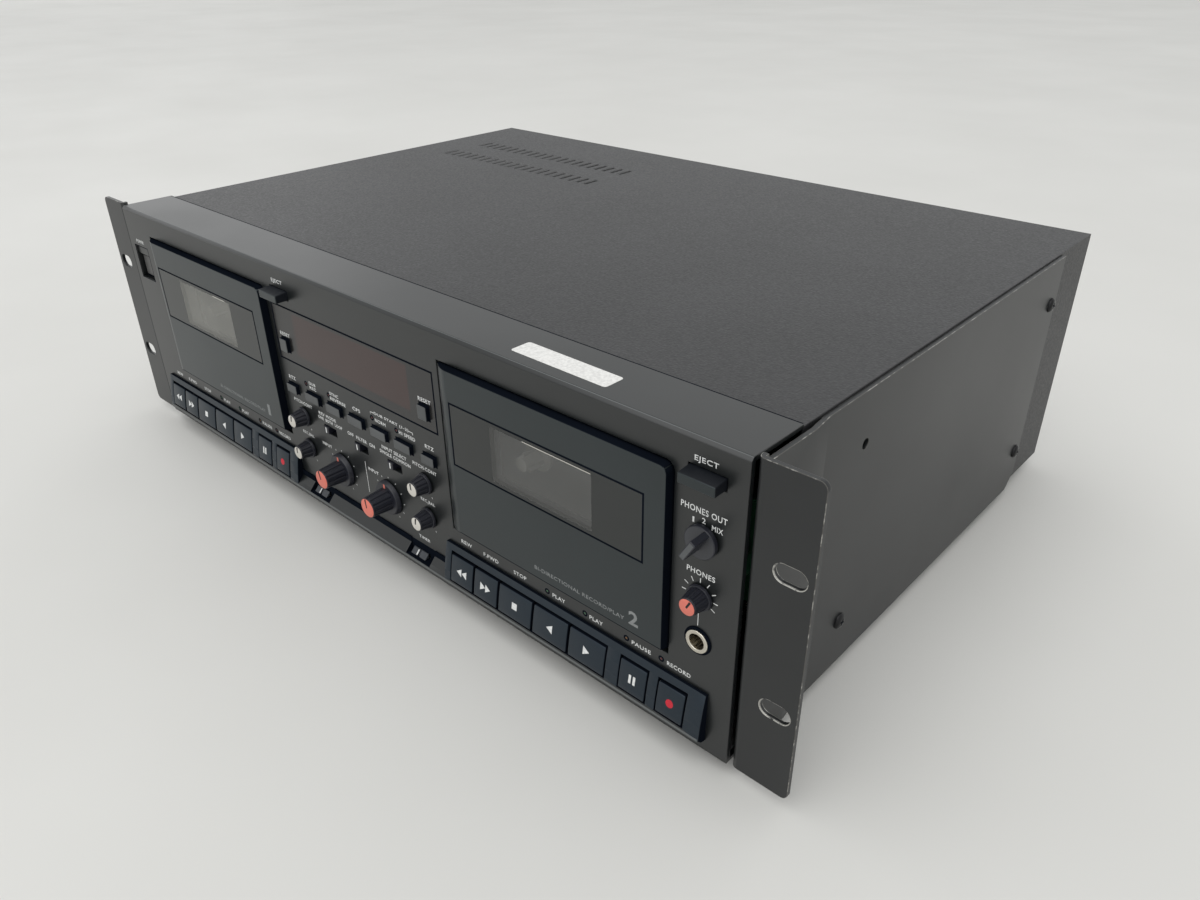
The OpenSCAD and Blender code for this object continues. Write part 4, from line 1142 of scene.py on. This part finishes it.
def words(shape, text, x, z, width, height, y=FACE, weight=0.012):
    """Prints a word centred on a place of the front."""
    curve = bpy.data.curves.new("word", "FONT")
    curve.body = text
    curve.extrude = 0.02
    curve.offset = weight
    curve.space_character = 1.1
    curve.resolution_u = 3
    carrier = bpy.data.objects.new("word", curve)
    scene.collection.objects.link(carrier)
    bpy.context.view_layer.update()
    shown = carrier.evaluated_get(bpy.context.evaluated_depsgraph_get())
    flat = bpy.data.meshes.new_from_object(shown)
    bpy.data.objects.remove(carrier)
    bpy.data.curves.remove(curve)
    low = [min(vert.co[i] for vert in flat.vertices) for i in range(3)]
    high = [max(vert.co[i] for vert in flat.vertices) for i in range(3)]
    middle = Vector([(a + b) / 2 for a, b in zip(low, high)])
    wanted = (width, height, 2 * INK_T)
    scale = Matrix.Diagonal([w / (b - a) for w, a, b in zip(wanted, low, high)] + [1.0])
    flat.transform(seat(x, y, z) @ scale @ Matrix.Translation(-middle))
    shape.from_mesh(flat)
    bpy.data.meshes.remove(flat)


# %% [markdown]
# The list gives each word with its middle, its width and its height. The words over the keys are the
# same on both decks, so they are printed twice at a fixed distance. A door's number and its line of
# text are dimmer, and they ride with the door.

# %% Words of the front
PANEL_WORDS = [
    ("EJECT", 199.7, 123.2, 9.4, 2.6), ("EJECT", -52.3, 123.5, 9.4, 2.4),
    ("POWER", -202.5, 112.6, 9.0, 1.9),
    ("RESET", -53.7, 96.5, 8.4, 1.9), ("RESET", 54.5, 96.4, 8.4, 1.9),
    ("RTZ", -54.5, 73.1, 6.0, 1.8), ("RTZ", 54.3, 73.5, 6.0, 1.8),
    ("PITCH CONT", -48.5, 60.7, 16.2, 1.8), ("PITCH CONT", 48.9, 61.0, 16.7, 1.8),
    ("REC BAL", -48.5, 43.1, 10.0, 1.6), ("REC BAL", 48.5, 43.3, 10.0, 1.6),
    ("INPUT", -31.7, 42.8, 8.0, 1.7), ("INPUT", 7.2, 43.0, 8.2, 1.7),
    ("DUB", -36.2, 75.0, 5.6, 1.6), ("REC", -36.2, 72.6, 5.6, 1.6),
    ("SYNC", -17.6, 75.2, 7.4, 1.7), ("REVERSE", -14.9, 72.6, 12.8, 1.7),
    ("CPS", 0.4, 73.6, 6.0, 1.8), ("DUB START (1-2)", 27.6, 76.7, 25.4, 1.8),
    ("NORM", 19.0, 73.4, 8.0, 1.7), ("HI SPEED", 38.7, 73.6, 11.6, 1.8),
    ("REV MODE", -27.1, 60.3, 14.7, 1.8), ("ONE  BOTH  LOOP", -25.4, 57.8, 20.6, 1.7),
    ("OFF  FILTER  ON", 0.5, 57.7, 21.9, 1.8),
    ("INPUT SELECT", 26.6, 60.5, 18.4, 1.8), ("SINGLE COMMON", 26.9, 57.7, 23.0, 1.8),
    ("PHONES OUT", 199.7, 104.6, 18.6, 2.4),
    ("1", 195.7, 100.2, 0.75, 2.1), ("2", 199.9, 101.3, 1.5, 2.1), ("MIX", 205.4, 100.1, 4.4, 2.1),
    ("PHONES", 199.9, 80.0, 11.8, 2.2),
    ("TIMER", 42.6, 20.4, 8.2, 1.6), ("TIMER", -39.4, 20.4, 8.2, 1.6),
]
KEY_WORDS = [
    ("REW", 74.0, 7.0), ("F.FWD", 90.0, 9.5), ("STOP", 108.2, 7.7), ("PLAY", 131.0, 7.2),
    ("PLAY", 151.5, 7.1), ("PAUSE", 174.6, 9.4), ("RECORD", 192.5, 10.9),
]
KEY_WORD_Z = 32.3
KEY_WORD_H = 1.9
DECK_SHIFT = 267.2
NUMBER_X = 47.0
NUMBER_Z = 47.6
NUMBER_H = 6.4
NUMBERS = {"left": ("1", 2.4), "right": ("2", 4.6)}
TITLE = "BI-DIRECTIONAL RECORD/PLAY"
TITLE_X = 18.8
TITLE_Z = 45.5
TITLE_W = 47.6
TITLE_H = 1.8
printing = bmesh.new()
for text, x, z, width, height in PANEL_WORDS:
    words(printing, text, x, z, width, height)
for text, x, width in KEY_WORDS:
    for shift in (0.0, DECK_SHIFT):
        words(printing, text, x - shift, KEY_WORD_Z, width, KEY_WORD_H)
make_piece("panel_words", printing, [white_ink], "deck")
for side, sign in SIDES:
    numeral = bmesh.new()
    number, width = NUMBERS[side]
    words(numeral, number, sign * DOOR_X + NUMBER_X, NUMBER_Z, width, NUMBER_H, DOOR_FACE, 0.025)
    words(numeral, TITLE, sign * DOOR_X + TITLE_X, TITLE_Z, TITLE_W, TITLE_H, DOOR_FACE, 0.008)
    make_piece("door_number_" + side, numeral, [dim_ink], "door_" + side)
print("words:", len(PANEL_WORDS) + 2 * len(KEY_WORDS))

# %% [markdown]
# Scales round the knobs are short strokes on a circle, and two fine lines tie controls to each other.
# They are slabs of the same ink, turned about the knob's axis, so a loop over angles draws a whole
# scale.

# %% Scales and lines
PHONES_SCALE_X = 199.9
LINK_X = 199.8
LINK_Z = 61.1
DIVIDER_X = 1.0
DIVIDER_Z = 37.2
BRACE_X = 27.6
BRACE_Z = 76.7
FINE = 0.3
BROAD = 0.35
strokes = bmesh.new()


def stroke(width, height, x, z, radius=0.0, angle=0.0):
    """A stroke of ink, set out from a centre by a radius and turned about it."""
    slab(strokes, bar(width, height, 0, radius), seat(x, FACE, z, FRONT, angle), -INK_T, INK_T)


for step in range(9):
    stroke(BROAD, 1.85, PHONES_SCALE_X, PHONES_Z, 6.7, -120 + step * 30)
for sign in (-1, 1):
    for step in range(11):
        stroke(FINE, 0.8, sign * INPUT_X, INPUT_Z, 10.6, -150 + step * 30)
    for angle in (-150, 0, 150):
        for z in (PITCH_Z, BALANCE_Z):
            stroke(BROAD, 0.8, sign * SMALL_X, z, 7.4, angle)
stroke(FINE, 17.5, DIVIDER_X, DIVIDER_Z)
stroke(FINE, 7.3, LINK_X, LINK_Z)
for sign in (-1, 1):
    stroke(FINE, 1.0, BRACE_X + sign * 15.6, BRACE_Z - 0.5)
    stroke(2.8, FINE, BRACE_X + sign * 14.3, BRACE_Z)
make_piece("panel_scales", strokes, [white_ink], "deck")
print("scales and lines")

# %% [markdown]
# The lamps are off in the picture: small domes of tinted plastic in dark bezels. Dome and bezel are
# two spun pieces of each colour. They don't glow, because an unlit lamp only shows its tint.

# %% Lamps
KEY_LAMPS = [(124.4, "green"), (145.5, "green"), (167.2, "amber"), (184.3, "red")]
KEY_LAMP_Z = 32.6
ROW_LAMPS = [-42.0, -22.5, 12.7, 31.0]
ROW_LAMP_Z = 73.7
LAMP_STEPS = 20
DOME = [(0, 0.1), (0.4, 0.05), (0.62, -0.1), (0.62, -0.6), (0, -0.6)]
BEZEL = [(0.66, 0.0), (0.7, 0.09), (1.2, 0.09), (1.4, 0.0), (1.4, -0.5), (0.66, -0.5), (0.66, 0.0)]
tints = {"green": lamp_green, "amber": lamp_amber, "red": lamp_red}
domes = {colour: bmesh.new() for colour in tints}
bezels = bmesh.new()
for x, colour in KEY_LAMPS:
    for shift in (0.0, DECK_SHIFT):
        place = seat(x - shift, FACE, KEY_LAMP_Z)
        turned(domes[colour], DOME, place, LAMP_STEPS)
        turned(bezels, BEZEL, place, LAMP_STEPS)
for x in ROW_LAMPS:
    place = seat(x, FACE, ROW_LAMP_Z)
    turned(domes["red"], DOME, place, LAMP_STEPS)
    turned(bezels, BEZEL, place, LAMP_STEPS)
for colour, shape in domes.items():
    make_piece("lamps_" + colour, shape, [tints[colour]], "deck")
make_piece("lamp_bezels", bezels, [black_and_shade], "deck")
print("lamps:", 2 * len(KEY_LAMPS) + len(ROW_LAMPS))

# %% [markdown]
# A blank paper label lies on top of the panel. It is a rectangle with its corners rounded by a vertex
# bevel, and then it gets the thickness of paper. A thin dark slab behind it draws the joint between
# panel and cover.

# %% Paper label and the cover's joint
LABEL_X = 126.75
LABEL_Y = 11.0
LABEL_SIZE = (48.5, 10.0)
LABEL_CORNER = 1.3
LABEL_TURN = 0.6
PAPER_T = 0.08
SEAM_W = 431.0
SEAM_D = 0.5
SEAM_BACK = 0.35
label = bmesh.new()
corners = [label.verts.new((u, v, 0)) for u, v in bar(*LABEL_SIZE)]
label.faces.new(corners)
bmesh.ops.bevel(
    label, geom=corners, offset=LABEL_CORNER, offset_type="OFFSET", segments=5, profile=0.5,
    affect="VERTICES", material=-1,
)
raised = bmesh.ops.extrude_face_region(label, geom=label.faces[:])["geom"]
lifted = [item for item in raised if isinstance(item, bmesh.types.BMVert)]
bmesh.ops.translate(label, verts=lifted, vec=(0, 0, PAPER_T))
bmesh.ops.recalc_face_normals(label, faces=label.faces)
place = seat(LABEL_X, LABEL_Y, PANEL_TOP, TOP, LABEL_TURN)
bmesh.ops.transform(label, matrix=place, verts=label.verts)
make_piece("paper_label", label, [label_paper], "deck")
cover_front = (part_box("top_cover")[0][1] - EAR_LOW.y) / MM
seam = bmesh.new()
place = seat(0, cover_front - SEAM_BACK, PANEL_TOP, TOP)
slab(seam, bar(SEAM_W, SEAM_D), place)
make_piece("cover_joint", seam, [black_and_shade], "deck")
print("label and joint")

# %% [markdown]
# Behind the doors the tape mechanism can be seen: a plated frame with heads and capstans, and two
# ivory reel spindles for each deck. The boards lie deeper. The frames and boards keep their solids
# and only get a finish, and the spindles are rounded, because they show when a door is open.

# %% Mechanism and boards
for side in ("left", "right"):
    for end in ("left", "right"):
        rounded("%s_deck_%s_reel" % (side, end), 0.2, reel_ivory)
INNER = {"deck_frame_left": zinc_steel, "deck_frame_right": zinc_steel, "electronics": board_lacquer}
for node, finish in INNER.items():
    carried = frame["nodes"][node].data
    carried.materials.clear()
    carried.materials.append(finish)
print("spindles and inner parts")
